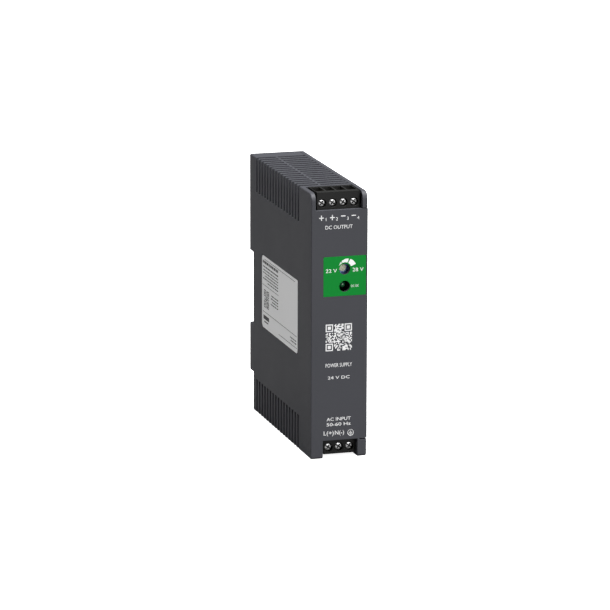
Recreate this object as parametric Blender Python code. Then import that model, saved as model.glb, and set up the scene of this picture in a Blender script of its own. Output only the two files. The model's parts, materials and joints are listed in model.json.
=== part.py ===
"""DIN rail power supply, 27 mm wide, as separate pieces.

Frame: +Z up, the front faces -Y, and the origin is the middle of the footprint.
"""
import math

import bmesh
import bpy
from mathutils import Matrix, Vector

MM = 0.001
GAP = 0.3 * MM                      # clearance left between two neighbouring pieces

# Overall size
WIDTH = 27.0 * MM
DEPTH = 103.0 * MM
HEIGHT = 125.0 * MM

# Shells
WALL = 1.6 * MM
FRONT_WALL = 2.0 * MM
COVER_THICKNESS = 2.5 * MM          # side cover with its rim
COVER_WALL = 1.6 * MM
EDGE_ROUND = 0.7 * MM
COVER_ROUND = 0.7 * MM
CORNER_ROUND = EDGE_ROUND + 0.3 * MM   # a profile corner stays rounder than the edge along it
EAR_ROUND = 3.5 * MM                # round top corner beside the output terminals
EAR_WIDTH = 2.1 * MM
LEFT_FOOT_WIDTH = 5.8 * MM
RIGHT_FOOT_WIDTH = 4.4 * MM
FOOT_DEPTH = 17.0 * MM
PANEL_TOP_DROP = 8.0 * MM           # from the top down to the front panel
PANEL_BOTTOM = 8.6 * MM
COVER_STEP = 0.6 * MM               # open line between panel and cover at ear and foot
TAB_THICKNESS = 1.0 * MM
TAB_LENGTH = 6.0 * MM
TAB_REACH = 3.5 * MM

# Vents
VENT_COUNT = 16
VENT_PITCH = 4.625 * MM
VENT_WIDTH = 2.4 * MM
VENT_START = 20.8 * MM              # from the front face to the first slot's middle
UPPER_VENT_DROP = 16.8 * MM         # how far a slot runs down the side wall
LOWER_VENT_RISE = 16.5 * MM
LANE_WIDTH = 9.4 * MM               # slots on the top and bottom lie in two lanes
LANE_BAR = 1.0 * MM
COVER_VENT_END = 4.0 * MM           # solid edge left at the ends of the cover's slots

# Rail foot, for a rail 35 mm high with flanges 1 mm thick
RAIL_HEIGHT = 35.0 * MM
RAIL_PLAY = 0.2 * MM
RAIL_FLANGE = 1.0 * MM
RAIL_CENTRE = 60.0 * MM
RAIL_STEP = 5.7 * MM                # depth of the recess that takes the rail
RAIL_GRIP = 2.0 * MM                # how far hook and latch reach behind the flanges
SEAT_PAD = 0.3 * MM
LOWER_BLOCK_BOTTOM = 18.5 * MM
HOOK_INSET = 4.0 * MM
HOOK_THICKNESS = 3.0 * MM
HOOK_ROOT = 1.0 * MM

# Latch
LATCH_WIDTH = 12.0 * MM
LATCH_THICKNESS = 2.4 * MM
LATCH_TRAVEL = 3.0 * MM
LATCH_TAB_WIDTH = 7.4 * MM
LATCH_TAB_LENGTH = 7.5 * MM
LATCH_SLOT_WIDTH = 4.0 * MM         # screwdriver slot
LATCH_SLOT_HEIGHT = 1.6 * MM
SPRING_DIAMETER = 2.4 * MM
SPRING_WIRE = 0.4 * MM
SPRING_LENGTH = 11.0 * MM
SPRING_TURNS = 8
PEG_HEIGHT = 2.0 * MM

# Terminals: a captive screw draws a cage forwards, onto a fixed contact bar
OUTPUT_POLES = 4
INPUT_POLES = 3
SCREW_SHANK = 2.08 * MM
SCREW_HEAD = 3.3 * MM
HEAD_LENGTH = 1.7 * MM
HEAD_SLOT = 0.6 * MM
HEAD_SLOT_DEPTH = 0.8 * MM
HEAD_TURN = math.radians(35)        # how the screw heads stand at rest
SCREW_HOLE = 4.0 * MM
CAGE_WALL = 0.5 * MM
CAGE_FRONT = 0.9 * MM
CAGE_REAR = 0.7 * MM
CAGE_HEIGHT = 6.6 * MM
CAGE_TO_ENTRY = 2.7 * MM
CAGE_TRAVEL = 2.2 * MM
CELL_WALL = 0.8 * MM
CELL_FRONT_WALL = 3.3 * MM
CELL_BACK_WALL = 1.1 * MM
CELL_FLOOR = 1.0 * MM
CONTACT_THICKNESS = 0.8 * MM
CONTACT_TAIL = 5.0 * MM
WIRE_OPENING = 3.5 * MM             # widest wire space between contact and cage
BLOCK_SETBACK = 3.3 * MM            # block face behind the front face
HEAD_SETBACK = 1.2 * MM             # head behind the block face
OUTPUT_AXIS_DROP = 5.3 * MM
OUTPUT_ENTRY_REACH = 5.2 * MM
OUTPUT_FAR_REACH = 10.2 * MM
INPUT_AXIS_HEIGHT = 4.3 * MM
INPUT_ENTRY_REACH = 3.1 * MM
INPUT_FAR_REACH = 12.2 * MM
OUTPUT_END_GAP = 0.5 * MM

# Front controls
DIAL_FROM_RIGHT = 10.95 * MM
DIAL_HEIGHT = 89.2 * MM
LAMP_HEIGHT = 81.1 * MM
CONTROL_HOLE = 5.3 * MM
ROTOR_DIAMETER = 3.5 * MM
ROTOR_LENGTH = 1.4 * MM
ROTOR_SLOT = 0.6 * MM
ROTOR_SLOT_DEPTH = 0.7 * MM
ROTOR_SETBACK = 3.5 * MM
TRIMMER_SIZE = 7.0 * MM
LAMP_DIAMETER = 3.0 * MM
LAMP_SETBACK = 3.2 * MM
LAMP_LENGTH = 4.8 * MM
LAMP_SPACER = 4.0 * MM
PANEL_LABEL = (19.9 * MM, 18.1 * MM)
PANEL_LABEL_FROM_RIGHT = 1.0 * MM
PANEL_LABEL_BOTTOM = 76.9 * MM
RATING_LABEL = (59.1 * MM, 34.5 * MM)
RATING_LABEL_FRONT = 22.0 * MM
RATING_LABEL_BOTTOM = 45.3 * MM
RATING_LABEL_ROUND = 2.0 * MM
LABEL_THICKNESS = 0.25 * MM

# Boards
BOARD_THICKNESS = 1.6 * MM
BOARD_EDGE = 2.0 * MM
SHEET_THICKNESS = 0.4 * MM
SOLDER_SPACE = 0.6 * MM

# Parts on the main board. Every place is measured out from the board, back from its front edge
# and up from its lower edge (down from its upper edge on the output side).
PART_ROUND = 0.3 * MM
INPUT_BLOCKS = {
    "input_fuse": {"back": 1 * MM, "up": 2 * MM, "size": (8 * MM, 4 * MM, 8.5 * MM), "look": "fuse"},
    "x_capacitor": {"back": 1 * MM, "up": 13 * MM, "size": (15 * MM, 8.5 * MM, 17.5 * MM),
                    "look": "film"},
    "bridge_rectifier": {"back": 26 * MM, "up": 33 * MM, "size": (14 * MM, 3.5 * MM, 15 * MM),
                         "look": "chip"},
    "controller_chip": {"back": 24 * MM, "up": 52 * MM, "size": (1.6 * MM, 4 * MM, 5 * MM),
                        "look": "chip"},
    "optocoupler": {"back": 31 * MM, "up": 52 * MM, "size": (3.5 * MM, 6.4 * MM, 4.6 * MM),
                    "look": "chip"},
}
INPUT_ROUNDS = {
    "inrush_thermistor": {"out": 5.5 * MM, "back": 10 * MM, "up": 6 * MM, "diameter": 9 * MM,
                          "length": 4 * MM, "rounding": 0.8 * MM, "look": "ceramic"},
    "surge_varistor": {"out": 5.5 * MM, "back": 16 * MM, "up": 6 * MM, "diameter": 9 * MM,
                       "length": 3.5 * MM, "rounding": 0.8 * MM, "look": "blue"},
    "bulk_capacitor": {"out": 9 * MM, "back": 50 * MM, "up": 14 * MM, "diameter": 18 * MM,
                       "length": 36 * MM, "rounding": 1.0 * MM, "look": "can"},
    "y_capacitor": {"out": 4 * MM, "back": 44 * MM, "up": 54 * MM, "diameter": 7 * MM,
                    "length": 3 * MM, "rounding": 0.6 * MM, "look": "blue"},
}
OUTPUT_ROUNDS = {
    "output_capacitor_1": {"out": 9 * MM, "back": 6 * MM, "down": 8 * MM, "diameter": 10 * MM,
                           "length": 18 * MM, "look": "can"},
    "output_capacitor_2": {"out": 9 * MM, "back": 6 * MM, "down": 19 * MM, "diameter": 10 * MM,
                           "length": 18 * MM, "look": "can"},
    "output_inductor": {"out": 5 * MM, "back": 17 * MM, "down": 10 * MM, "diameter": 9 * MM,
                        "length": 9 * MM, "look": "copper"},
}
OUTPUT_ROUNDING = 0.8 * MM
CHOKE_PLACE = (9 * MM, 18 * MM, 23 * MM)
CHOKE_DEPTH = 5.0 * MM
CHOKE_SIZE = 18.0 * MM
CHOKE_LEG = 3.6 * MM
CHOKE_SLEEVE = 1.4 * MM
CHOKE_ROUND = 0.5 * MM
TRANSFORMER_SIZE = (17.0 * MM, 12.0 * MM, 25.0 * MM)
TRANSFORMER_LEG = 3.5 * MM
TRANSFORMER_ROUND = 1.2 * MM
WINDING_OVERHANG = 0.9              # half depth of the winding as a share of the core's depth
TRANSFORMER_BACK = 52 * MM
TRANSFORMER_DOWN = 42 * MM
PRIMARY_SINK = {"from_back": 3 * MM, "up": 28 * MM, "height": 36 * MM}
SECONDARY_SINK = {"back": 36 * MM, "down": 30 * MM, "height": 28 * MM}
SINK_DEPTH = 17.0 * MM
SINK_PLATE = 2.5 * MM
DEVICE_THICKNESS = 4.5 * MM
DEVICE_NEAR = 3 * MM
DEVICE_FAR = 14 * MM
DEVICE_HEIGHT = 10 * MM
SINK_SCREW_OUT = 11.5 * MM
SINK_SCREW_SHANK = 2.4 * MM
SINK_SCREW_HEAD = 4.6 * MM
SINK_SCREW_HEAD_LENGTH = 1.6 * MM

# Planes worked out from the sizes above
LEFT, RIGHT = -WIDTH / 2, WIDTH / 2
FRONT, BACK = -DEPTH / 2, DEPTH / 2
SEAM = RIGHT - COVER_THICKNESS
HOUSING_RIGHT = SEAM - GAP
PANEL_TOP = HEIGHT - PANEL_TOP_DROP
BACK_WALL = BACK - RAIL_STEP - SEAT_PAD
SEAT = BACK_WALL + SEAT_PAD
RECESS_TOP = RAIL_CENTRE + RAIL_HEIGHT / 2 + RAIL_PLAY
RECESS_BOTTOM = RAIL_CENTRE - RAIL_HEIGHT / 2 - RAIL_PLAY
INNER_LEFT = LEFT + WALL
INNER_BACK = BACK_WALL - WALL
CAGE_WIDTH = SCREW_SHANK + 2 * GAP + 2 * CAGE_WALL
CELL_WIDTH = CAGE_WIDTH + 2 * GAP
PITCH = CELL_WIDTH + CELL_WALL      # 5.08 mm
BLOCK_FACE = FRONT + BLOCK_SETBACK
CELL_FRONT = BLOCK_FACE + CELL_FRONT_WALL
CAGE_START = CELL_FRONT + GAP + CAGE_TRAVEL
CONTACT_FACE = CAGE_START + CAGE_FRONT + 2 * GAP
CAGE_END = CONTACT_FACE + CONTACT_THICKNESS + WIRE_OPENING + CAGE_REAR
CELL_BACK = CAGE_END + GAP
BLOCK_BACK = CELL_BACK + CELL_BACK_WALL
FRONT_BOARD_FACE = CONTACT_FACE + CONTACT_THICKNESS + GAP
SHEET_RIGHT = SEAM - 2 * GAP
BOARD_RIGHT = SHEET_RIGHT - SHEET_THICKNESS - SOLDER_SPACE
BOARD_FACE = BOARD_RIGHT - BOARD_THICKNESS
PART_FACE = BOARD_FACE - GAP        # parts on the main board start here and stand to the left
OUTPUT_AXIS = HEIGHT - OUTPUT_AXIS_DROP
DIAL_X = RIGHT - DIAL_FROM_RIGHT
MIDDLE = (LEFT + HOUSING_RIGHT) / 2


# Tools

def clear_scene():
    for obj in list(bpy.data.objects):
        bpy.data.objects.remove(obj, do_unlink=True)


def material(name, colour, roughness, metallic=0.0):
    mat = bpy.data.materials.new(name)
    mat.use_nodes = True
    shader = mat.node_tree.nodes["Principled BSDF"]
    shader.inputs["Base Color"].default_value = (*colour, 1.0)
    shader.inputs["Roughness"].default_value = roughness
    shader.inputs["Metallic"].default_value = metallic
    return mat


def finish(bm, name, look, origin=(0, 0, 0), smooth=False):
    """Turns a bmesh drawn in world positions into an object with the given origin."""
    bmesh.ops.translate(bm, verts=bm.verts, vec=-Vector(origin))
    bmesh.ops.recalc_face_normals(bm, faces=bm.faces)
    mesh = bpy.data.meshes.new(name)
    bm.to_mesh(mesh)
    bm.free()
    mesh.materials.append(look)
    if smooth:
        mesh.shade_smooth()
        mesh.set_sharp_from_angle(angle=math.radians(35))
    obj = bpy.data.objects.new(name, mesh)
    obj.location = origin
    bpy.context.collection.objects.link(obj)
    return obj


def add_box(bm, low, high):
    size = [high[i] - low[i] for i in range(3)]
    middle = [(high[i] + low[i]) / 2 for i in range(3)]
    place = Matrix.Translation(middle) @ Matrix.Diagonal((*size, 1.0))
    return bmesh.ops.create_cube(bm, size=1.0, matrix=place)["verts"]


def turned_to(axis):
    """Rotation that takes +Z to the named axis."""
    return {"X": Matrix.Rotation(math.pi / 2, 4, "Y"),
            "Y": Matrix.Rotation(-math.pi / 2, 4, "X"),
            "Z": Matrix.Identity(4)}[axis]


def add_cylinder(bm, middle, axis, diameter, length, segments=32):
    place = Matrix.Translation(middle) @ turned_to(axis)
    bmesh.ops.create_cone(bm, cap_ends=True, segments=segments, radius1=diameter / 2,
                          radius2=diameter / 2, depth=length, matrix=place)


def box(name, low, high, look, rounding=0.0):
    bm = bmesh.new()
    add_box(bm, low, high)
    if rounding:
        bmesh.ops.bevel(bm, geom=bm.edges[:], offset=rounding, segments=2,
                        affect="EDGES", profile=0.5)
    return finish(bm, name, look, [(low[i] + high[i]) / 2 for i in range(3)], bool(rounding))


def cylinder(name, middle, axis, diameter, length, look, rounding=0.0, segments=32):
    bm = bmesh.new()
    add_cylinder(bm, middle, axis, diameter, length, segments)
    if rounding:
        rims = [edge for edge in bm.edges if max(len(face.verts) for face in edge.link_faces) > 4]
        bmesh.ops.bevel(bm, geom=rims, offset=rounding, segments=2, affect="EDGES", profile=0.5)
    return finish(bm, name, look, middle, True)


def round_outline(corners, steps=4):
    """Closed outline from (u, v, radius) corners, each radius drawn as an arc."""
    points = []
    for i, (u, v, radius) in enumerate(corners):
        here = Vector((u, v))
        if not radius:
            points.append(here)
            continue
        before = (Vector(corners[i - 1][:2]) - here).normalized()
        after = (Vector(corners[(i + 1) % len(corners)][:2]) - here).normalized()
        half = before.angle(after) / 2
        centre = here + (before + after).normalized() * radius / math.sin(half)
        start = here + before * radius / math.tan(half) - centre
        end = here + after * radius / math.tan(half) - centre
        sweep = start.angle_signed(end)
        for step in range(steps + 1):
            turn = Matrix.Rotation(-sweep * step / steps, 2)
            points.append(centre + turn @ start)
    return points


def prism(outline, axis, start, end):
    """Extrudes an outline along an axis. X takes (y, z) points, Y takes (x, z), Z takes (x, y)."""
    place = {"X": lambda p, t: (t, p[0], p[1]),
             "Y": lambda p, t: (p[0], t, p[1]),
             "Z": lambda p, t: (p[0], p[1], t)}[axis]
    bm = bmesh.new()
    rings = [[bm.verts.new(place(p, t)) for p in outline] for t in (start, end)]
    for ring in rings:
        bm.faces.new(ring)
    for i in range(len(outline)):
        j = (i + 1) % len(outline)
        bm.faces.new((rings[0][i], rings[0][j], rings[1][j], rings[1][i]))
    bmesh.ops.recalc_face_normals(bm, faces=bm.faces)
    return bm


def boolean(target, bm, operation, name):
    """Adds or cuts a shape on a target with a hidden helper object."""
    helper = finish(bm, name, target.data.materials[0])
    helper.hide_render = True
    helper.display_type = "WIRE"
    modifier = target.modifiers.new(name, "BOOLEAN")
    modifier.operation = operation
    modifier.object = helper


def cut_boxes(target, boxes, name):
    bm = bmesh.new()
    for low, high in boxes:
        add_box(bm, low, high)
    boolean(target, bm, "DIFFERENCE", name)


def add_block(target, low, high, name):
    bm = bmesh.new()
    add_box(bm, low, high)
    boolean(target, bm, "UNION", name)


def cut_holes(target, holes, name, segments=32):
    """Cuts round holes given as (middle, axis, diameter, length)."""
    bm = bmesh.new()
    for middle, axis, diameter, length in holes:
        add_cylinder(bm, middle, axis, diameter, length, segments)
    boolean(target, bm, "DIFFERENCE", name)


# Looks

def make_looks():
    return {
        "shell": material("shell_plastic", (0.074, 0.077, 0.088), 0.45),
        "terminal": material("terminal_plastic", (0.026, 0.026, 0.025), 0.4),
        "green": material("panel_green", (0.005, 0.26, 0.038), 0.4),
        "label": material("label_film", (0.42, 0.42, 0.42), 0.5),
        "screw": material("plated_steel", (0.55, 0.55, 0.54), 0.3, 1.0),
        "brass": material("tinned_brass", (0.55, 0.5, 0.38), 0.35, 1.0),
        "spring": material("spring_steel", (0.5, 0.5, 0.52), 0.3, 1.0),
        "rotor": material("rotor_cream", (0.48, 0.5, 0.4), 0.45),
        "blue": material("component_blue", (0.02, 0.07, 0.28), 0.4),
        "lamp": material("lamp_green", (0.02, 0.16, 0.05), 0.2),
        "board": material("board_green", (0.02, 0.11, 0.05), 0.5),
        "sheet": material("insulating_film", (0.3, 0.29, 0.25), 0.5),
        "ferrite": material("ferrite_grey", (0.05, 0.05, 0.05), 0.6),
        "winding": material("winding_tape", (0.6, 0.45, 0.05), 0.5),
        "copper": material("enamelled_copper", (0.5, 0.18, 0.06), 0.35, 1.0),
        "can": material("capacitor_sleeve", (0.015, 0.015, 0.03), 0.35),
        "chip": material("moulded_epoxy", (0.02, 0.02, 0.02), 0.5),
        "sink": material("bare_aluminium", (0.6, 0.6, 0.61), 0.4, 1.0),
        "film": material("film_capacitor", (0.5, 0.4, 0.06), 0.5),
        "ceramic": material("ceramic_green", (0.05, 0.16, 0.08), 0.6),
        "fuse": material("fuse_body", (0.03, 0.03, 0.03), 0.5),
    }


# Shells

def shell_outline():
    """Side profile: round ear at the top of the front, rail recess in the back."""
    return round_outline([
        (FRONT, 0, CORNER_ROUND), (FRONT, HEIGHT, EAR_ROUND), (BACK, HEIGHT, CORNER_ROUND),
        (BACK, RECESS_TOP, 0), (BACK_WALL, RECESS_TOP, 0), (BACK_WALL, RECESS_BOTTOM, 0),
        (BACK, RECESS_BOTTOM, 0), (BACK, LOWER_BLOCK_BOTTOM, 0),
        (BACK_WALL, LOWER_BLOCK_BOTTOM, 0), (BACK_WALL, 0, CORNER_ROUND)])


def inside_outline():
    return [(FRONT + FRONT_WALL, WALL), (FRONT + FRONT_WALL, HEIGHT - WALL),
            (BACK - WALL, HEIGHT - WALL), (BACK - WALL, RECESS_TOP + WALL),
            (INNER_BACK, RECESS_TOP + WALL), (INNER_BACK, WALL)]


def rounded_shell(name, start, end, round_side, radius, look):
    bm = prism(shell_outline(), "X", start, end)
    rim = [edge for edge in bm.edges
           if all(abs(vert.co.x - round_side) < 0.1 * GAP for vert in edge.verts)]
    bmesh.ops.bevel(bm, geom=rim, offset=radius, segments=3, affect="EDGES", profile=0.5)
    return finish(bm, name, look)


def vent_centres():
    return [FRONT + VENT_START + i * VENT_PITCH for i in range(VENT_COUNT)]


def side_vents(x_low, x_high, z_low, z_high):
    half = VENT_WIDTH / 2
    return [((x_low, y - half, z_low), (x_high, y + half, z_high)) for y in vent_centres()]


def make_main_housing(look):
    over = 1.0 * MM
    shell = rounded_shell("main_housing", LEFT, RIGHT, LEFT, EDGE_ROUND, look)
    boolean(shell, prism(inside_outline(), "X", INNER_LEFT, RIGHT + over), "DIFFERENCE",
            "housing_inside")
    cut_boxes(shell, [((HOUSING_RIGHT, FRONT + FRONT_WALL, -over),
                       (RIGHT + over, BACK + over, HEIGHT + over))], "cover_space")
    ends = [(-over, PANEL_BOTTOM), (PANEL_TOP, HEIGHT + over)]
    cut_boxes(shell, [((HOUSING_RIGHT, FRONT - over, low),
                       (RIGHT + over, FRONT + FRONT_WALL + over, high))
                      for low, high in ends], "cover_ends")
    block_end = BLOCK_BACK + GAP
    cut_boxes(shell, [((LEFT + EAR_WIDTH, FRONT - over, PANEL_TOP),
                       (RIGHT + over, block_end, HEIGHT + over))], "output_opening")
    add_block(shell, (LEFT + LEFT_FOOT_WIDTH - WALL, FRONT + WALL / 2, WALL / 2),
              (LEFT + LEFT_FOOT_WIDTH, block_end, PANEL_BOTTOM), "foot_partition")
    cut_boxes(shell, [((LEFT + LEFT_FOOT_WIDTH, FRONT - over, -over),
                       (RIGHT + over, block_end, PANEL_BOTTOM))], "input_opening")
    add_rail_features(shell)
    cut_vents(shell)
    cut_label_pockets(shell)
    cut_holes(shell, [((DIAL_X, FRONT, z), "Y", CONTROL_HOLE, 3 * FRONT_WALL)
                      for z in (DIAL_HEIGHT, LAMP_HEIGHT)], "control_holes")
    return shell


def cut_vents(shell):
    over = 1.0 * MM
    upper = HEIGHT - UPPER_VENT_DROP
    lane_end = LEFT + LANE_WIDTH
    cut_boxes(shell, side_vents(LEFT - over, lane_end, upper, HEIGHT + over)
              + side_vents(LEFT - over, lane_end, -over, LOWER_VENT_RISE), "left_vents")
    far_lane = (lane_end + LANE_BAR, HOUSING_RIGHT - GAP)
    cut_boxes(shell, side_vents(*far_lane, HEIGHT - 2 * WALL, HEIGHT + over)
              + side_vents(*far_lane, -over, 2 * WALL), "right_vents")


def cut_label_pockets(shell):
    over = 1.0 * MM
    depth = LABEL_THICKNESS + GAP
    right = RIGHT - PANEL_LABEL_FROM_RIGHT
    cut_boxes(shell, [
        ((right - PANEL_LABEL[0] - GAP, FRONT - over, PANEL_LABEL_BOTTOM - GAP),
         (right + GAP, FRONT + depth, PANEL_LABEL_BOTTOM + PANEL_LABEL[1] + GAP)),
        ((LEFT - over, FRONT + RATING_LABEL_FRONT - GAP, RATING_LABEL_BOTTOM - GAP),
         (LEFT + depth, FRONT + RATING_LABEL_FRONT + RATING_LABEL[0] + GAP,
          RATING_LABEL_BOTTOM + RATING_LABEL[1] + GAP))], "label_pockets")


def add_rail_features(shell):
    """Fixed hook, seat pad, the latch's channel and the peg that the spring stands on."""
    over = 1.0 * MM
    hook_face = SEAT + RAIL_FLANGE + GAP
    hook_low = RAIL_CENTRE + RAIL_HEIGHT / 2 - RAIL_GRIP
    add_block(shell, (LEFT + HOOK_INSET, hook_face, hook_low),
              (HOUSING_RIGHT - HOOK_INSET, hook_face + HOOK_THICKNESS, RECESS_TOP + HOOK_ROOT),
              "rail_hook")
    pad_half = RAIL_HEIGHT / 2 - RAIL_GRIP - GAP
    add_block(shell, (LEFT + EDGE_ROUND + GAP, INNER_BACK + GAP, RAIL_CENTRE - pad_half),
              (HOUSING_RIGHT - GAP, SEAT, RAIL_CENTRE + pad_half), "seat_pad")
    half = LATCH_WIDTH / 2 + GAP
    channel_front = hook_face - GAP
    channel_back = hook_face + LATCH_THICKNESS + GAP
    window = LATCH_TAB_WIDTH / 2 + GAP
    cut_boxes(shell, [((MIDDLE - half, channel_front, LOWER_BLOCK_BOTTOM - over),
                       (MIDDLE + half, channel_back, RECESS_BOTTOM + over))], "latch_channel")
    cut_boxes(shell, [((MIDDLE - window, channel_back - GAP, LOWER_BLOCK_BOTTOM - over),
                       (MIDDLE + window, BACK + over, RECESS_BOTTOM + over))], "latch_window")
    peg_half = SPRING_DIAMETER / 2
    add_block(shell, (MIDDLE - peg_half, channel_front - GAP, peg_bottom()),
              (MIDDLE + peg_half, channel_back - GAP, peg_bottom() + PEG_HEIGHT), "spring_peg")


def peg_bottom():
    return LOWER_BLOCK_BOTTOM + LATCH_TRAVEL + 2 * GAP


def make_side_cover(look):
    """Right wall with the upper ear and the lower foot, which reaches in under the front panel."""
    over = 1.0 * MM
    foot_left = RIGHT - RIGHT_FOOT_WIDTH
    foot_back = FRONT + FOOT_DEPTH
    cover = rounded_shell("side_cover", foot_left, RIGHT, RIGHT, COVER_ROUND, look)
    beside_foot = [(foot_back, -over), (BACK + over, -over), (BACK + over, HEIGHT + over),
                   (FRONT - over, HEIGHT + over), (FRONT - over, PANEL_BOTTOM),
                   (foot_back, PANEL_BOTTOM)]
    boolean(cover, prism(beside_foot, "X", foot_left - over, SEAM), "DIFFERENCE", "beside_foot")
    rim = RIGHT - COVER_WALL
    boolean(cover, prism(inside_outline(), "X", SEAM - GAP, rim), "DIFFERENCE", "cover_inside")
    cut_boxes(cover, [((SEAM - over, FRONT - over, PANEL_BOTTOM - COVER_STEP),
                       (RIGHT + over, FRONT + FRONT_WALL + GAP, PANEL_TOP + GAP))], "panel_space")
    vents = side_vents(SEAM - over, RIGHT + over, HEIGHT - UPPER_VENT_DROP, HEIGHT - COVER_VENT_END)
    vents += side_vents(SEAM - over, RIGHT + over, COVER_VENT_END, LOWER_VENT_RISE)
    cut_boxes(cover, vents, "cover_vents")
    add_tabs(cover, rim)
    return cover


def add_tabs(cover, rim):
    """Four tongues that snap inside the housing: two behind the front, one above, one below."""
    inner_front = FRONT + FRONT_WALL + GAP
    for name, low in (("upper", PANEL_TOP - 4 * TAB_LENGTH), ("lower", PANEL_BOTTOM + 2 * TAB_LENGTH)):
        add_block(cover, (SEAM - TAB_REACH, inner_front + GAP, low),
                  (rim + GAP, inner_front + GAP + TAB_THICKNESS, low + TAB_LENGTH), name + "_front_tab")
    tab_back = INNER_BACK - GAP
    for name, z in (("top", HEIGHT - WALL - GAP - TAB_THICKNESS), ("bottom", WALL + GAP)):
        add_block(cover, (SEAM - TAB_REACH, tab_back - TAB_LENGTH, z),
                  (rim + GAP, tab_back, z + TAB_THICKNESS), name + "_tab")


# Labels and controls

def make_labels(looks):
    right = RIGHT - PANEL_LABEL_FROM_RIGHT
    panel = box("front_panel_label", (right - PANEL_LABEL[0], FRONT, PANEL_LABEL_BOTTOM),
                (right, FRONT + LABEL_THICKNESS, PANEL_LABEL_BOTTOM + PANEL_LABEL[1]), looks["green"])
    cut_holes(panel, [((DIAL_X, FRONT, z), "Y", CONTROL_HOLE, 3 * FRONT_WALL)
                      for z in (DIAL_HEIGHT, LAMP_HEIGHT)], "label_holes")
    y, z = FRONT + RATING_LABEL_FRONT, RATING_LABEL_BOTTOM
    corners = [(y, z), (y + RATING_LABEL[0], z), (y + RATING_LABEL[0], z + RATING_LABEL[1]),
               (y, z + RATING_LABEL[1])]
    outline = round_outline([(*corner, RATING_LABEL_ROUND) for corner in corners])
    finish(prism(outline, "X", LEFT, LEFT + LABEL_THICKNESS), "rating_label", looks["label"],
           (LEFT, y + RATING_LABEL[0] / 2, z + RATING_LABEL[1] / 2))


def cross_cutter(middle, width, length, depth, turn):
    """Two crossed bars drawn as one outline."""
    half = width / 2
    arm = length / 2
    outline = [(-half, -arm), (half, -arm), (half, -half), (arm, -half), (arm, half), (half, half),
               (half, arm), (-half, arm), (-half, half), (-arm, half), (-arm, -half), (-half, -half)]
    rotate = Matrix.Rotation(turn, 2)
    outline = [rotate @ Vector(point) + Vector((middle[0], middle[2])) for point in outline]
    return prism(outline, "Y", middle[1] - depth, middle[1] + depth)


def make_controls(looks):
    rotor_face = FRONT + ROTOR_SETBACK
    rotor = cylinder("trimmer_rotor", (DIAL_X, rotor_face + ROTOR_LENGTH / 2, DIAL_HEIGHT), "Y",
                     ROTOR_DIAMETER, ROTOR_LENGTH, looks["rotor"])
    boolean(rotor, cross_cutter((DIAL_X, rotor_face, DIAL_HEIGHT), ROTOR_SLOT, 0.75 * ROTOR_DIAMETER,
                                ROTOR_SLOT_DEPTH, 0.0), "DIFFERENCE", "rotor_cross")
    half = TRIMMER_SIZE / 2
    box("trimmer_body", (DIAL_X - half, rotor_face + ROTOR_LENGTH + GAP, DIAL_HEIGHT - half),
        (DIAL_X + half, FRONT_BOARD_FACE - GAP, DIAL_HEIGHT + half), looks["blue"])
    lamp_face = FRONT + LAMP_SETBACK
    cylinder("status_lamp", (DIAL_X, lamp_face + LAMP_LENGTH / 2, LAMP_HEIGHT), "Y",
             LAMP_DIAMETER, LAMP_LENGTH, looks["lamp"], rounding=0.8 * MM, segments=24)
    spacer_low = lamp_face + LAMP_LENGTH + GAP
    spacer_high = FRONT_BOARD_FACE - GAP
    cylinder("lamp_spacer", (DIAL_X, (spacer_low + spacer_high) / 2, LAMP_HEIGHT), "Y",
             LAMP_SPACER, spacer_high - spacer_low, looks["chip"], segments=24)


# Terminals

def make_terminals(side, poles, right_end, axis_z, entry, entry_reach, far_reach, looks):
    """One terminal block with its screws, cages and contact bars.

    entry is +1 where wires come in from above and -1 where they come in from below.
    """
    over = 1.0 * MM
    left_end = right_end - poles * PITCH
    centres = [left_end + PITCH * (i + 0.5) for i in range(poles)]

    def span(x_low, x_high, y_low, y_high, near, far):
        """Box between two distances from the screw axis, towards and away from the wire entry."""
        z = sorted((axis_z + entry * near, axis_z - entry * far))
        return (x_low, y_low, z[0]), (x_high, y_high, z[1])

    housing = box(side + "_terminal_housing",
                  *span(left_end, right_end, BLOCK_FACE, BLOCK_BACK, entry_reach, far_reach),
                  looks["terminal"])
    half = CELL_WIDTH / 2
    cut_boxes(housing, [span(x - half, x + half, CELL_FRONT, CELL_BACK, entry_reach + over,
                             far_reach - CELL_FLOOR) for x in centres], side + "_cells")
    cut_holes(housing, [((x, BLOCK_FACE, axis_z), "Y", SCREW_HOLE, 2 * CELL_FRONT_WALL + over)
                        for x in centres], side + "_screw_holes", 24)
    contact_half = SCREW_SHANK / 2
    slot = contact_half + GAP
    cut_boxes(housing, [span(x - slot, x + slot, CONTACT_FACE - GAP,
                             CONTACT_FACE + CONTACT_THICKNESS + GAP,
                             -far_reach + 2 * CELL_FLOOR, far_reach + over) for x in centres],
              side + "_contact_slots")
    for number, x in enumerate(centres, 1):
        make_screw("%s_screw_%d" % (side, number), x, axis_z, looks["screw"])
        make_cage("%s_cage_%d" % (side, number), x, axis_z, span, looks["brass"])
        low, high = span(x - contact_half, x + contact_half, CONTACT_FACE,
                         CONTACT_FACE + CONTACT_THICKNESS, CAGE_TO_ENTRY - GAP, far_reach + CONTACT_TAIL)
        box("%s_contact_%d" % (side, number), low, high, looks["brass"])


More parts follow.
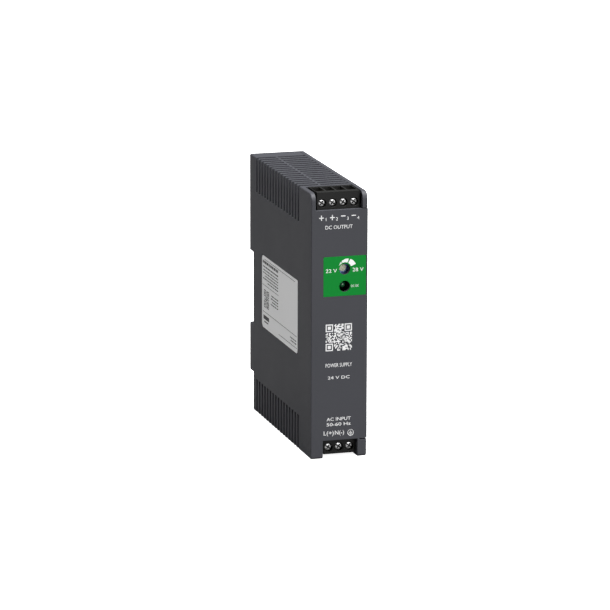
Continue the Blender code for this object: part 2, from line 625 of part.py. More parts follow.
def make_screw(name, x, z, look):
    """Turned profile with its axis along Y, and a cross in the head."""
    face = BLOCK_FACE + HEAD_SETBACK
    tip = CONTACT_FACE - GAP
    neck = face + HEAD_LENGTH
    rim = 0.25 * MM
    head, shank = SCREW_HEAD / 2, SCREW_SHANK / 2
    profile = [(0, face), (head - rim, face), (head, face + rim), (head, neck), (shank, neck),
               (shank, tip - rim), (shank - rim, tip), (0, tip)]
    bm = bmesh.new()
    line = [bm.verts.new((x + radius, y, z)) for radius, y in profile]
    edges = [bm.edges.new(pair) for pair in zip(line, line[1:])]
    bmesh.ops.spin(bm, geom=line + edges, cent=(x, 0, z), axis=(0, 1, 0), angle=math.tau, steps=24)
    bmesh.ops.remove_doubles(bm, verts=bm.verts, dist=0.001 * MM)
    screw = finish(bm, name, look, (x, face, z), True)
    boolean(screw, cross_cutter((x, face, z), HEAD_SLOT, 0.72 * SCREW_HEAD, HEAD_SLOT_DEPTH, HEAD_TURN),
            "DIFFERENCE", name + "_cross")


def make_cage(name, x, z, span, look):
    half = CAGE_WIDTH / 2
    far = CAGE_HEIGHT - CAGE_TO_ENTRY
    cage = box(name, *span(x - half, x + half, CAGE_START, CAGE_END, CAGE_TO_ENTRY, far), look)
    inner = half - CAGE_WALL
    cut_boxes(cage, [span(x - inner, x + inner, CAGE_START + CAGE_FRONT, CAGE_END - CAGE_REAR,
                          CAGE_HEIGHT, CAGE_HEIGHT)], name + "_inside")
    cut_holes(cage, [((x, CAGE_START, z), "Y", SCREW_SHANK + 2 * GAP, 3 * CAGE_FRONT)],
              name + "_thread", 16)


# Rail latch

def make_latch(looks):
    face = SEAT + RAIL_FLANGE + GAP
    top = RAIL_CENTRE - RAIL_HEIGHT / 2 + RAIL_GRIP
    body_low = LOWER_BLOCK_BOTTOM + GAP
    low = LOWER_BLOCK_BOTTOM - LATCH_TAB_LENGTH
    wide, narrow = LATCH_WIDTH / 2, LATCH_TAB_WIDTH / 2
    outline = round_outline([
        (MIDDLE - wide, top, 0), (MIDDLE + wide, top, 0), (MIDDLE + wide, body_low, 0),
        (MIDDLE + narrow, body_low, 0), (MIDDLE + narrow, low, CORNER_ROUND),
        (MIDDLE - narrow, low, CORNER_ROUND), (MIDDLE - narrow, body_low, 0),
        (MIDDLE - wide, body_low, 0)])
    latch = finish(prism(outline, "Y", face, face + LATCH_THICKNESS), "din_latch", looks["shell"],
                   (MIDDLE, face, top))
    over = 1.0 * MM
    spring_low = peg_bottom() + PEG_HEIGHT + GAP
    spring_high = spring_low + SPRING_LENGTH
    slot_half = SPRING_DIAMETER / 2 + GAP
    slot_low = low + 2 * CORNER_ROUND
    cut_boxes(latch, [
        ((MIDDLE - slot_half, face - over, peg_bottom() - GAP),
         (MIDDLE + slot_half, face + LATCH_THICKNESS + over, spring_high + GAP)),
        ((MIDDLE - LATCH_SLOT_WIDTH / 2, face - over, slot_low),
         (MIDDLE + LATCH_SLOT_WIDTH / 2, face + LATCH_THICKNESS + over, slot_low + LATCH_SLOT_HEIGHT))],
        "latch_openings")
    make_spring(face + LATCH_THICKNESS / 2, spring_low, spring_high, looks["spring"])


def make_spring(y, low, high, look):
    """Helix of square-ended wire, swept ring by ring."""
    sides, steps = 6, 12 * SPRING_TURNS
    radius = (SPRING_DIAMETER - SPRING_WIRE) / 2
    rise = (high - low - SPRING_WIRE) / steps
    bm = bmesh.new()
    rings = []
    for step in range(steps + 1):
        turn = math.tau * SPRING_TURNS * step / steps
        out = Vector((math.cos(turn), math.sin(turn), 0))
        centre = Vector((MIDDLE, y, low + SPRING_WIRE / 2 + rise * step)) + out * radius
        ring = []
        for side in range(sides):
            angle = math.tau * side / sides
            offset = out * math.cos(angle) + Vector((0, 0, 1)) * math.sin(angle)
            ring.append(bm.verts.new(centre + offset * SPRING_WIRE / 2))
        rings.append(ring)
    for ring, following in zip(rings, rings[1:]):
        for i in range(sides):
            j = (i + 1) % sides
            bm.faces.new((ring[i], ring[j], following[j], following[i]))
    bm.faces.new(rings[0])
    bm.faces.new(rings[-1])
    finish(bm, "din_latch_spring", look, (MIDDLE, y, low), True)


# Boards and the parts on them

def make_boards(looks):
    input_top = INPUT_AXIS_HEIGHT + INPUT_FAR_REACH + 2 * GAP
    output_low = OUTPUT_AXIS - OUTPUT_FAR_REACH - 2 * GAP
    box("front_board", (INNER_LEFT + 2 * GAP, FRONT_BOARD_FACE, input_top),
        (BOARD_RIGHT, FRONT_BOARD_FACE + BOARD_THICKNESS, output_low), looks["board"])
    near = FRONT_BOARD_FACE + BOARD_THICKNESS + GAP
    main = BLOCK_BACK + 2 * GAP
    far = INNER_BACK - BOARD_EDGE
    low, high = WALL + BOARD_EDGE, HEIGHT - WALL - BOARD_EDGE
    outline = [(near, input_top), (main, input_top), (main, low), (far, low), (far, high),
               (main, high), (main, output_low), (near, output_low)]
    finish(prism(outline, "X", BOARD_FACE, BOARD_RIGHT), "main_board", looks["board"],
           (BOARD_FACE, main, low))
    box("insulating_sheet", (SHEET_RIGHT - SHEET_THICKNESS, main, low), (SHEET_RIGHT, far, high),
        looks["sheet"])
    return main, far, low, high


def make_input_parts(looks, y, z):
    """Mains side, laid out from the lower front corner of the main board."""
    for name, part in INPUT_BLOCKS.items():
        low = (PART_FACE - part["size"][0], y + part["back"], z + part["up"])
        box(name, low, [low[i] + part["size"][i] for i in range(3)], looks[part["look"]], PART_ROUND)
    for name, part in INPUT_ROUNDS.items():
        cylinder(name, (PART_FACE - part["out"], y + part["back"], z + part["up"]), "Y",
                 part["diameter"], part["length"], looks[part["look"]], part["rounding"])
    out, back, up = CHOKE_PLACE
    make_choke(looks, PART_FACE - out, y + back, z + up)


def make_choke(looks, x, y, z):
    """Common-mode choke: a square ferrite frame with one winding on each upright."""
    core_depth, half, leg = CHOKE_DEPTH, CHOKE_SIZE / 2, CHOKE_LEG
    core = box("choke_core", (x - half, y - core_depth / 2, z - half),
               (x + half, y + core_depth / 2, z + half), looks["ferrite"])
    window = half - leg
    cut_boxes(core, [((x - window, y - core_depth, z - window),
                      (x + window, y + core_depth, z + window))], "choke_window")
    sleeve = CHOKE_SLEEVE
    winding_half = window - 2 * GAP
    for name, middle in (("lower", z - half + leg / 2), ("upper", z + half - leg / 2)):
        reach = leg / 2 + sleeve
        winding = box("choke_winding_" + name,
                      (x - winding_half, y - core_depth / 2 - sleeve, middle - reach),
                      (x + winding_half, y + core_depth / 2 + sleeve, middle + reach),
                      looks["copper"], CHOKE_ROUND)
        hole = leg / 2 + GAP
        cut_boxes(winding, [((x - half, y - core_depth / 2 - GAP, middle - hole),
                             (x + half, y + core_depth / 2 + GAP, middle + hole))],
                  name + "_winding_hole")


def make_transformer(looks, y, z):
    """Ferrite frame around a wound bobbin, on the middle of the main board."""
    width, depth, height = TRANSFORMER_SIZE
    x = PART_FACE - width / 2
    leg = TRANSFORMER_LEG
    core = box("transformer_core", (x - width / 2, y - depth / 2, z - height / 2),
               (x + width / 2, y + depth / 2, z + height / 2), looks["ferrite"])
    inner_x, inner_z = width / 2, height / 2 - leg
    cut_boxes(core, [((x - inner_x + leg, y - depth, z - inner_z),
                      (x + inner_x - leg, y + depth, z + inner_z))], "transformer_window")
    box("transformer_winding", (x - inner_x + leg + GAP, y - depth * WINDING_OVERHANG,
                                z - inner_z + GAP),
        (x + inner_x - leg - GAP, y + depth * WINDING_OVERHANG, z + inner_z - GAP),
        looks["winding"], TRANSFORMER_ROUND)


def make_output_parts(looks, y, z):
    """Low voltage side, laid out from the upper front corner of the main board."""
    for name, part in OUTPUT_ROUNDS.items():
        cylinder(name, (PART_FACE - part["out"], y + part["back"], z - part["down"]), "X",
                 part["diameter"], part["length"], looks[part["look"]], OUTPUT_ROUNDING)


def make_heatsink(side, y, z, height, looks):
    """Upright aluminium bar with a power device screwed flat against its front."""
    x = PART_FACE
    depth, plate, device = SINK_DEPTH, SINK_PLATE, DEVICE_THICKNESS
    device_name = {"primary": "switching_transistor", "secondary": "output_rectifier"}[side]
    sink = box(side + "_heatsink", (x - depth, y, z), (x, y + plate, z + height), looks["sink"])
    middle = z + height / 2
    low = (x - DEVICE_FAR, middle - DEVICE_HEIGHT / 2)
    high = (x - DEVICE_NEAR, middle + DEVICE_HEIGHT / 2)
    chip = box(device_name, (low[0], y - GAP - device, low[1]), (high[0], y - GAP, high[1]),
               looks["chip"])
    screw_x = x - SINK_SCREW_OUT
    shank, head = SINK_SCREW_SHANK, SINK_SCREW_HEAD
    for target, name in ((sink, "sink"), (chip, "device")):
        cut_holes(target, [((screw_x, y, middle), "Y", shank + 2 * GAP, 4 * device)],
                  side + "_" + name + "_hole", 16)
    head_face, head_length = y - 2 * GAP - device, SINK_SCREW_HEAD_LENGTH
    shank_length = y + plate - head_face + GAP
    bm = bmesh.new()
    add_cylinder(bm, (screw_x, y + plate - shank_length / 2, middle), "Y", shank, shank_length, 16)
    screw = finish(bm, side + "_heatsink_screw", looks["screw"], (screw_x, y, middle), True)
    bm = bmesh.new()
    add_cylinder(bm, (screw_x, head_face - head_length / 2, middle), "Y", head, head_length, 16)
    boolean(screw, bm, "UNION", side + "_screw_head")


def make_part():
    clear_scene()
    looks = make_looks()
    make_main_housing(looks["shell"])
    make_side_cover(looks["shell"])
    make_labels(looks)
    make_controls(looks)
    make_terminals("output", OUTPUT_POLES, SEAM - OUTPUT_END_GAP, OUTPUT_AXIS, 1,
                   OUTPUT_ENTRY_REACH, OUTPUT_FAR_REACH, looks)
    make_terminals("input", INPUT_POLES, RIGHT - RIGHT_FOOT_WIDTH - GAP, INPUT_AXIS_HEIGHT, -1,
                   INPUT_ENTRY_REACH, INPUT_FAR_REACH, looks)
    make_latch(looks)
    board_front, board_back, board_low, board_high = make_boards(looks)
    make_input_parts(looks, board_front, board_low)
    make_transformer(looks, board_front + TRANSFORMER_BACK, board_high - TRANSFORMER_DOWN)
    make_output_parts(looks, board_front, board_high)
    make_heatsink("primary", board_back - PRIMARY_SINK["from_back"], board_low + PRIMARY_SINK["up"],
                  PRIMARY_SINK["height"], looks)
    make_heatsink("secondary", board_front + SECONDARY_SINK["back"],
                  board_high - SECONDARY_SINK["down"], SECONDARY_SINK["height"], looks)


make_part()
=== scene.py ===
import bpy
import json
import math
import random
from mathutils import Matrix, Vector


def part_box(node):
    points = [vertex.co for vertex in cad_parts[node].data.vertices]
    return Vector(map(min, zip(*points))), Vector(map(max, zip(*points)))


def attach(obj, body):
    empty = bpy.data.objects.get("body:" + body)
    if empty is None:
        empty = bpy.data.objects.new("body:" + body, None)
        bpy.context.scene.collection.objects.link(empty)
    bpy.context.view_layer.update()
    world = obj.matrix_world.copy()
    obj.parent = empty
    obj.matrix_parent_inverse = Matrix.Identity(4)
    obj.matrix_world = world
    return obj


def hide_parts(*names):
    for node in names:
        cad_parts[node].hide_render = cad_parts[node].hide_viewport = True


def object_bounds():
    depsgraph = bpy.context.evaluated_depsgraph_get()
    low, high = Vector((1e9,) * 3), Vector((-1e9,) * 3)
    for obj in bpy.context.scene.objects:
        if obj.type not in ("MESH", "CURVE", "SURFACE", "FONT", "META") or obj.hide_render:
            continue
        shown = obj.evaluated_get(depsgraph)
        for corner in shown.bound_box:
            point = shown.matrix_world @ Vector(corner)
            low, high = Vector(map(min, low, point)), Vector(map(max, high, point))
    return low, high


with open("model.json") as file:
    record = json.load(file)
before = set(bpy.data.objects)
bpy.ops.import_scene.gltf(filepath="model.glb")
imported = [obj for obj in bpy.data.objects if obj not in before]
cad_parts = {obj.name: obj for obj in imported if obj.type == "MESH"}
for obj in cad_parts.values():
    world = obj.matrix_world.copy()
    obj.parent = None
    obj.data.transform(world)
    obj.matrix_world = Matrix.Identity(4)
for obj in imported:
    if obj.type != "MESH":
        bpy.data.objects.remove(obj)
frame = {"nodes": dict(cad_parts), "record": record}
nodes = frame["nodes"]
cadLow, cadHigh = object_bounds()
mm = 0.001

front = cadLow.y
left = cadLow.x
weld = 0.002 * mm
smoothAngle = math.radians(35)
flatAngle = math.radians(0.5)

view = bpy.context.scene.view_settings
view.view_transform = "Standard"


# camera and light

cameraSetup = {"place": (-0.5281, -1.7624, 0.4868), "yaw": 16.65, "down": 13.03, "roll": 0.124,
               "lens": 236.6, "sensor": 36.0}
lightSetup = {
    "overhead": {"kind": "SUN", "toward": (-0.06, 0.20, -1.0), "spread": 55.0, "power": 9.5},
    "front": {"kind": "AREA", "place": (0.55, -1.9, 0.55), "aim": (0, 0, 0.06), "size": 1.0, "power": 17.0},
}
roomStrength = 0.18


def aimed(place, toward):
    return Matrix.Translation(place) @ toward.to_track_quat("-Z", "Y").to_matrix().to_4x4()


def addCamera(setup):
    cameraData = bpy.data.cameras.new("camera")
    cameraData.lens = setup["lens"]
    cameraData.sensor_width = setup["sensor"]
    camera = bpy.data.objects.new("camera", cameraData)
    bpy.context.scene.collection.objects.link(camera)
    yaw, down = math.radians(setup["yaw"]), math.radians(setup["down"])
    looking = Vector((math.sin(yaw) * math.cos(down), math.cos(yaw) * math.cos(down), -math.sin(down)))
    roll = Matrix.Rotation(math.radians(setup["roll"]), 4, "Z")
    camera.matrix_world = aimed(setup["place"], looking) @ roll
    bpy.context.scene.camera = camera


def addLights(setup):
    for name, one in setup.items():
        lamp = bpy.data.lights.new(name + "Light", one["kind"])
        lamp.energy = one["power"]
        lampObject = bpy.data.objects.new(name + "Light", lamp)
        bpy.context.scene.collection.objects.link(lampObject)
        if one["kind"] == "SUN":
            lamp.angle = math.radians(one["spread"])
            place, toward = Vector((0, 0, 1)), Vector(one["toward"])
        else:
            lamp.size = one["size"]
            place, toward = Vector(one["place"]), Vector(one["aim"]) - Vector(one["place"])
        lampObject.matrix_world = aimed(place, toward)


# the camera sees a white room, the object is lit by a dim one
def addRoom(strength):
    world = bpy.data.worlds.new("studio")
    world.use_nodes = True
    path = world.node_tree.nodes.new("ShaderNodeLightPath")
    colour = mixColours(world.node_tree, path.outputs["Is Camera Ray"], rgb(1.0), rgb(1.0 / strength))
    background = world.node_tree.nodes["Background"]
    world.node_tree.links.new(colour, background.inputs["Color"])
    background.inputs["Strength"].default_value = strength
    bpy.context.scene.world = world


# node helpers

def newMaterial(name, roughness, metallic=0.0, coat=0.0, shine=0.5):
    made = bpy.data.materials.new(name)
    made.use_nodes = True
    shader = made.node_tree.nodes["Principled BSDF"]
    shader.inputs["Roughness"].default_value = roughness
    shader.inputs["Metallic"].default_value = metallic
    shader.inputs["Coat Weight"].default_value = coat
    shader.inputs["Specular IOR Level"].default_value = shine
    return made, made.node_tree, shader


def addNode(tree, kind, **values):
    node = tree.nodes.new(kind)
    for key, value in values.items():
        if hasattr(node, key):
            setattr(node, key, value)
        else:
            node.inputs[key.replace("_", " ")].default_value = value
    return node


def mixColours(tree, factor, first, second, blend="MIX"):
    mix = tree.nodes.new("ShaderNodeMix")
    mix.data_type = "RGBA"
    mix.blend_type = blend
    for socket, value in ((mix.inputs[0], factor), (mix.inputs[6], first), (mix.inputs[7], second)):
        if isinstance(value, bpy.types.NodeSocket):
            tree.links.new(value, socket)
        else:
            socket.default_value = value
    return mix.outputs[2]


def maths(tree, operation, *values):
    node = tree.nodes.new("ShaderNodeMath")
    node.operation = operation
    for socket, value in zip(node.inputs, values):
        if isinstance(value, bpy.types.NodeSocket):
            tree.links.new(value, socket)
        else:
            socket.default_value = value
    return node.outputs[0]


def bumpInto(tree, shader, height, strength, distance):
    bump = addNode(tree, "ShaderNodeBump")
    bump.inputs["Strength"].default_value = strength
    bump.inputs["Distance"].default_value = distance
    tree.links.new(height, bump.inputs["Height"])
    tree.links.new(bump.outputs["Normal"], shader.inputs["Normal"])


def rgb(level, warm=(1.0, 1.0, 1.0)):
    return (level * warm[0], level * warm[1], level * warm[2], 1.0)


addCamera(cameraSetup)
addLights(lightSetup)
addRoom(roomStrength)
print("camera and lights placed")


# shared effects

grainSetup = {"fineHeight": 0.7, "pitHeight": 0.5, "patchTone": 0.6, "fineTone": 0.4}
rubHighlightSetup = {"radius": 0.2 * mm, "flat": 0.99, "sharp": 0.85, "breakup": 700.0}


# moulding grain: fine noise with small pits, and a slow change of tone over it
def buildGrainGroup(setup):
    group = bpy.data.node_groups.new("mouldGrain", "ShaderNodeTree")
    group.interface.new_socket("Scale", in_out="INPUT", socket_type="NodeSocketFloat")
    group.interface.new_socket("Patch", in_out="INPUT", socket_type="NodeSocketFloat")
    group.interface.new_socket("Tone", in_out="OUTPUT", socket_type="NodeSocketFloat")
    group.interface.new_socket("Height", in_out="OUTPUT", socket_type="NodeSocketFloat")
    entry = group.nodes.new("NodeGroupInput")
    leave = group.nodes.new("NodeGroupOutput")
    place = group.nodes.new("ShaderNodeTexCoord")
    fine = addNode(group, "ShaderNodeTexNoise", Detail=3.0, Roughness=0.65)
    pits = addNode(group, "ShaderNodeTexVoronoi")
    patch = addNode(group, "ShaderNodeTexNoise", Detail=4.0, Roughness=0.5)
    for texture in (fine, pits, patch):
        group.links.new(place.outputs["Object"], texture.inputs["Vector"])
    group.links.new(entry.outputs["Scale"], fine.inputs["Scale"])
    group.links.new(entry.outputs["Scale"], pits.inputs["Scale"])
    group.links.new(entry.outputs["Patch"], patch.inputs["Scale"])
    height = maths(group, "ADD", maths(group, "MULTIPLY", fine.outputs[0], setup["fineHeight"]),
                   maths(group, "MULTIPLY", pits.outputs["Distance"], setup["pitHeight"]))
    tone = maths(group, "ADD", maths(group, "MULTIPLY", patch.outputs[0], setup["patchTone"]),
                 maths(group, "MULTIPLY", fine.outputs[0], setup["fineTone"]))
    group.links.new(tone, leave.inputs["Tone"])
    group.links.new(height, leave.inputs["Height"])
    return group


# rubbed edges with a painted edge highlight: lighter where the rounded normal turns away from the real one,
# broken up by noise
def buildWearGroup(setup):
    group = bpy.data.node_groups.new("edgeRubHighlight", "ShaderNodeTree")
    group.interface.new_socket("Breakup", in_out="INPUT", socket_type="NodeSocketFloat")
    group.interface.new_socket("Mask", in_out="OUTPUT", socket_type="NodeSocketFloat")
    entry = group.nodes.new("NodeGroupInput")
    leave = group.nodes.new("NodeGroupOutput")
    shape = group.nodes.new("ShaderNodeNewGeometry")
    rounded = addNode(group, "ShaderNodeBevel", samples=4, Radius=setup["radius"])
    turn = group.nodes.new("ShaderNodeVectorMath")
    turn.operation = "DOT_PRODUCT"
    group.links.new(shape.outputs["Normal"], turn.inputs[0])
    group.links.new(rounded.outputs["Normal"], turn.inputs[1])
    ramp = group.nodes.new("ShaderNodeMapRange")
    ramp.inputs["From Min"].default_value = setup["flat"]
    ramp.inputs["From Max"].default_value = setup["sharp"]
    group.links.new(turn.outputs["Value"], ramp.inputs["Value"])
    place = group.nodes.new("ShaderNodeTexCoord")
    noise = addNode(group, "ShaderNodeTexNoise", Detail=2.0)
    group.links.new(place.outputs["Object"], noise.inputs["Vector"])
    group.links.new(entry.outputs["Breakup"], noise.inputs["Scale"])
    group.links.new(maths(group, "MULTIPLY", ramp.outputs[0], noise.outputs[0]), leave.inputs["Mask"])
    return group


grainGroup = buildGrainGroup(grainSetup)
rubHighlightGroup = buildWearGroup(rubHighlightSetup)


def placeGrain(tree, scale, patch):
    node = tree.nodes.new("ShaderNodeGroup")
    node.node_tree = grainGroup
    node.inputs["Scale"].default_value = scale
    node.inputs["Patch"].default_value = patch
    return node


def placeWear(tree, breakup):
    node = tree.nodes.new("ShaderNodeGroup")
    node.node_tree = rubHighlightGroup
    node.inputs["Breakup"].default_value = breakup
    return node


# materials

roughnessSwing = 0.08
woundSetup = {"distortion": 0.6, "grain": 1200.0, "patch": 60.0, "stain": 0.4, "roughSwing": 0.2,
              "bump": 0.7, "depth": 0.12 * mm}


# an even finish with grain in its tone, roughness and bump, and lighter edges where a rub colour is given,
# partly rubbed wear and partly a painted edge highlight
def moulded(name, dark, light, roughness, grain=1800.0, patch=45.0, depth=0.03 * mm, strength=0.5,
            rubHighlight=None, coat=0.0, metallic=0.0, shine=0.5):
    made, tree, shader = newMaterial(name, roughness, metallic, coat, shine)
    grainNode = placeGrain(tree, grain, patch)
    colour = mixColours(tree, grainNode.outputs["Tone"], dark, light)
    if rubHighlight:
        rubHighlightNode = placeWear(tree, rubHighlightSetup["breakup"])
        # painted highlight: the edges are lightened towards the rub colour, partly wear and partly light
        # caught on the rounded edge
        colour = mixColours(tree, rubHighlightNode.outputs["Mask"], colour, rubHighlight)
    tree.links.new(colour, shader.inputs["Base Color"])
    spread = tree.nodes.new("ShaderNodeMapRange")
    spread.inputs["To Min"].default_value = roughness - roughnessSwing
    spread.inputs["To Max"].default_value = roughness + roughnessSwing
    tree.links.new(grainNode.outputs["Tone"], spread.inputs["Value"])
    tree.links.new(spread.outputs["Result"], shader.inputs["Roughness"])
    bumpInto(tree, shader, grainNode.outputs["Height"], strength, depth)
    return made


# wire or tape laid turn by turn: dark lines between the turns, and a bump that follows them
def woundLook(name, dark, light, roughness, direction, turns, metallic=0.0, coat=0.0):
    made, tree, shader = newMaterial(name, roughness, metallic, coat)
    place = tree.nodes.new("ShaderNodeTexCoord")
    wave = addNode(tree, "ShaderNodeTexWave", bands_direction=direction, wave_profile="SIN", Scale=turns,
                   Distortion=woundSetup["distortion"])
    tree.links.new(place.outputs["Object"], wave.inputs["Vector"])
    grainNode = placeGrain(tree, woundSetup["grain"], woundSetup["patch"])
    colour = mixColours(tree, wave.outputs["Fac"], dark, light)
    stain = maths(tree, "MULTIPLY", grainNode.outputs["Tone"], woundSetup["stain"])
    tree.links.new(mixColours(tree, stain, colour, dark), shader.inputs["Base Color"])
    swing = maths(tree, "MULTIPLY", grainNode.outputs["Tone"], woundSetup["roughSwing"])
    tree.links.new(maths(tree, "ADD", swing, roughness - 0.5 * woundSetup["roughSwing"]),
                   shader.inputs["Roughness"])
    bumpInto(tree, shader, wave.outputs["Fac"], woundSetup["bump"], woundSetup["depth"])
    return made


cool = (0.945, 0.965, 1.13)
warm = (1.0, 0.98, 0.9)
looks = {
    "shell_plastic": moulded("shellPlastic", rgb(0.036, cool), rgb(0.043, cool), 0.5, strength=0.2,
                             rubHighlight=rgb(0.08, cool), shine=0.25),
    "latch_plastic": moulded("latchPlastic", rgb(0.022), rgb(0.032), 0.42, rubHighlight=rgb(0.07)),
    "terminal_plastic": moulded("terminalPlastic", rgb(0.007), rgb(0.011), 0.45, grain=2400.0, strength=0.2,
                                rubHighlight=rgb(0.04, warm), shine=0.15),
    "panel_green": moulded("panelGreen", (0.001, 0.158, 0.018, 1), (0.002, 0.178, 0.023, 1), 0.45,
                           strength=0.1, shine=0.1),
    "label_film": moulded("labelFilm", rgb(0.76), rgb(0.82), 0.45, grain=900.0, strength=0.08, shine=0.3),
    "plated_steel": moulded("platedSteel", rgb(0.34), rgb(0.5), 0.34, grain=1500.0, strength=0.2,
                            metallic=1.0),
    "tinned_brass": moulded("tinnedBrass", (0.5, 0.46, 0.36, 1), (0.64, 0.6, 0.48, 1), 0.34, strength=0.2,
                            metallic=1.0),
    "spring_steel": moulded("springSteel", rgb(0.4), rgb(0.52), 0.3, strength=0.2, metallic=1.0),
    "rotor_cream": moulded("rotorCream", (0.7, 0.72, 0.56, 1), (0.8, 0.8, 0.66, 1), 0.4, strength=0.2),
    "component_blue": moulded("componentBlue", (0.24, 0.36, 0.80, 1), (0.28, 0.42, 0.86, 1), 0.35,
                              strength=0.2),
    "lamp_green": moulded("lampGreen", (0.01, 0.10, 0.03, 1), (0.015, 0.14, 0.045, 1), 0.15,
                          strength=0.05, coat=1.0),
    "moulded_epoxy": moulded("mouldedEpoxy", rgb(0.016), rgb(0.026), 0.5),
    "board_green": moulded("boardGreen", (0.01, 0.07, 0.03, 1), (0.015, 0.1, 0.045, 1), 0.35),
    "insulating_film": moulded("insulatingFilm", (0.3, 0.29, 0.24, 1), (0.36, 0.35, 0.3, 1), 0.5),
    "ferrite_grey": moulded("ferriteGrey", rgb(0.035), rgb(0.055), 0.6),
    "winding_tape": woundLook("windingTape", (0.36, 0.22, 0.012, 1), (0.65, 0.45, 0.04, 1), 0.4, "Z", 70.0),
    "enamelled_copper": woundLook("enamelledCopper", (0.12, 0.03, 0.01, 1), (0.46, 0.16, 0.05, 1), 0.3,
                                  "X", 220.0, coat=0.5),
    "capacitor_sleeve": moulded("capacitorSleeve", rgb(0.014), rgb(0.02), 0.3, coat=0.3),
    "film_capacitor": moulded("filmCapacitor", (0.5, 0.34, 0.03, 1), (0.58, 0.42, 0.05, 1), 0.45),
    "ceramic_green": moulded("ceramicGreen", (0.03, 0.14, 0.06, 1), (0.05, 0.18, 0.08, 1), 0.4),
    "whiteInk": moulded("whiteInk", rgb(0.62), rgb(0.72), 0.5, strength=0.05, shine=0.3),
    "darkInk": moulded("darkInk", rgb(0.03), rgb(0.045), 0.5, strength=0.05, shine=0.3),
    "bare_aluminium": moulded("bareAluminium", rgb(0.5), rgb(0.62), 0.4, metallic=1.0),
}

screwLook = {"recess": 0.3 * mm, "deep": 0.8 * mm, "dark": rgb(0.55), "light": rgb(0.72), "shadow": rgb(0.08),
             "grain": 1500.0, "patch": 300.0, "roughness": 0.38, "dull": 0.2, "bump": 0.2, "depth": 0.02 * mm}


# painted shade: the recess in a screw's head and its shank are painted darker than the face, darker deeper
# in, where shade falls
def screwSteel(face, setup):
    made, tree, shader = newMaterial("screwSteel", setup["roughness"], 1.0)
    grainNode = placeGrain(tree, setup["grain"], setup["patch"])
    place = tree.nodes.new("ShaderNodeTexCoord")
    split = tree.nodes.new("ShaderNodeSeparateXYZ")
    tree.links.new(place.outputs["Object"], split.inputs[0])
    depth = tree.nodes.new("ShaderNodeMapRange")
    depth.inputs["From Min"].default_value = face + setup["recess"]
    depth.inputs["From Max"].default_value = face + setup["deep"]
    tree.links.new(split.outputs["Y"], depth.inputs["Value"])
    bright = mixColours(tree, grainNode.outputs["Tone"], setup["dark"], setup["light"])
    # painted shade in the recess: the colour moves towards the shadow colour with depth below the face
    tree.links.new(mixColours(tree, depth.outputs["Result"], bright, setup["shadow"]),
                   shader.inputs["Base Color"])
    dulled = maths(tree, "MULTIPLY", depth.outputs["Result"], setup["dull"])
    tree.links.new(maths(tree, "ADD", dulled, setup["roughness"]), shader.inputs["Roughness"])
    bumpInto(tree, shader, grainNode.outputs["Height"], setup["bump"], setup["depth"])
    return made


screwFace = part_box("output_screw_1")[0][1]
looks["screwSteel"] = screwSteel(screwFace, screwLook)
for part in frame["record"]["subparts"]:
    cadMaterials = nodes[part["node"]].data.materials
    cadMaterials.clear()
    cadMaterials.append(looks[part["material_slot"]])
print("materials made:", len(looks))


# modelling helpers

def pickOnly(*pieces):
    bpy.ops.object.select_all(action="DESELECT")
    for piece in pieces:
        piece.select_set(True)
    bpy.context.view_layer.objects.active = pieces[0]


# last step of each piece: its place goes into the mesh, then it rides on its body
def settle(piece, body, slotName, *standsFor, look=None):
    pickOnly(piece)
    bpy.ops.object.transform_apply(location=True, rotation=True, scale=True)
    piece.data.materials.clear()
    piece.data.materials.append(looks[look or slotName])
    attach(piece, body)
    if standsFor:
        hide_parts(*standsFor)
    return piece


def applyAll(piece):
    pickOnly(piece)
    for modifier in list(piece.modifiers):
        bpy.ops.object.modifier_apply(modifier=modifier.name)


# rounds the edges sharper than the angle, and keeps the flat faces' shading flat
def roundEdges(piece, edge, segments=2, minimumAngle=25):
    bevel = piece.modifiers.new("edges", "BEVEL")
    bevel.width = edge
    bevel.segments = segments
    bevel.limit_method = "ANGLE"
    bevel.angle_limit = math.radians(minimumAngle)
    bevel.use_clamp_overlap = True
    applyAll(piece)
    bpy.ops.object.shade_smooth_by_angle(angle=smoothAngle)
    weighted = piece.modifiers.new("normals", "WEIGHTED_NORMAL")
    weighted.keep_sharp = True
    applyAll(piece)
    return piece


# a merged copy of a CAD node with its edges rounded a little
def softCopy(nodeName, newName, edge):
    source = nodes[nodeName]
    piece = source.copy()
    piece.data = source.data.copy()
    piece.name = newName
    piece.parent = None
    for key in list(piece.keys()):
        del piece[key]
    bpy.context.scene.collection.objects.link(piece)
    pickOnly(piece)
    bpy.ops.object.mode_set(mode="EDIT")
    bpy.ops.mesh.select_all(action="SELECT")
    bpy.ops.mesh.remove_doubles(threshold=weld)
    bpy.ops.mesh.dissolve_limited(angle_limit=flatAngle)
    bpy.ops.object.mode_set(mode="OBJECT")
    return roundEdges(piece, edge)


def combine(piece, other, operation):
    boolean = piece.modifiers.new("combine", "BOOLEAN")
    boolean.operation = operation
    boolean.object = other
    applyAll(piece)
    bpy.data.objects.remove(other, do_unlink=True)
    return piece


def joinAll(name, parts):
    pickOnly(*parts)
    bpy.ops.object.join()
    parts[0].name = name
    return parts[0]


def block(name, low, high, edge=0.0):
    bpy.ops.object.select_all(action="DESELECT")
    low, high = Vector(low), Vector(high)
    bpy.ops.mesh.primitive_cube_add(size=1.0, location=(low + high) / 2)
    piece = bpy.context.object
    piece.name = name
    piece.scale = high - low
    bpy.ops.object.transform_apply(location=True, rotation=True, scale=True)
    if edge:
        roundEdges(piece, edge)
    return piece


turnedToward = {"X": (0, 0, -math.pi / 2), "Y": (0, 0, 0)}


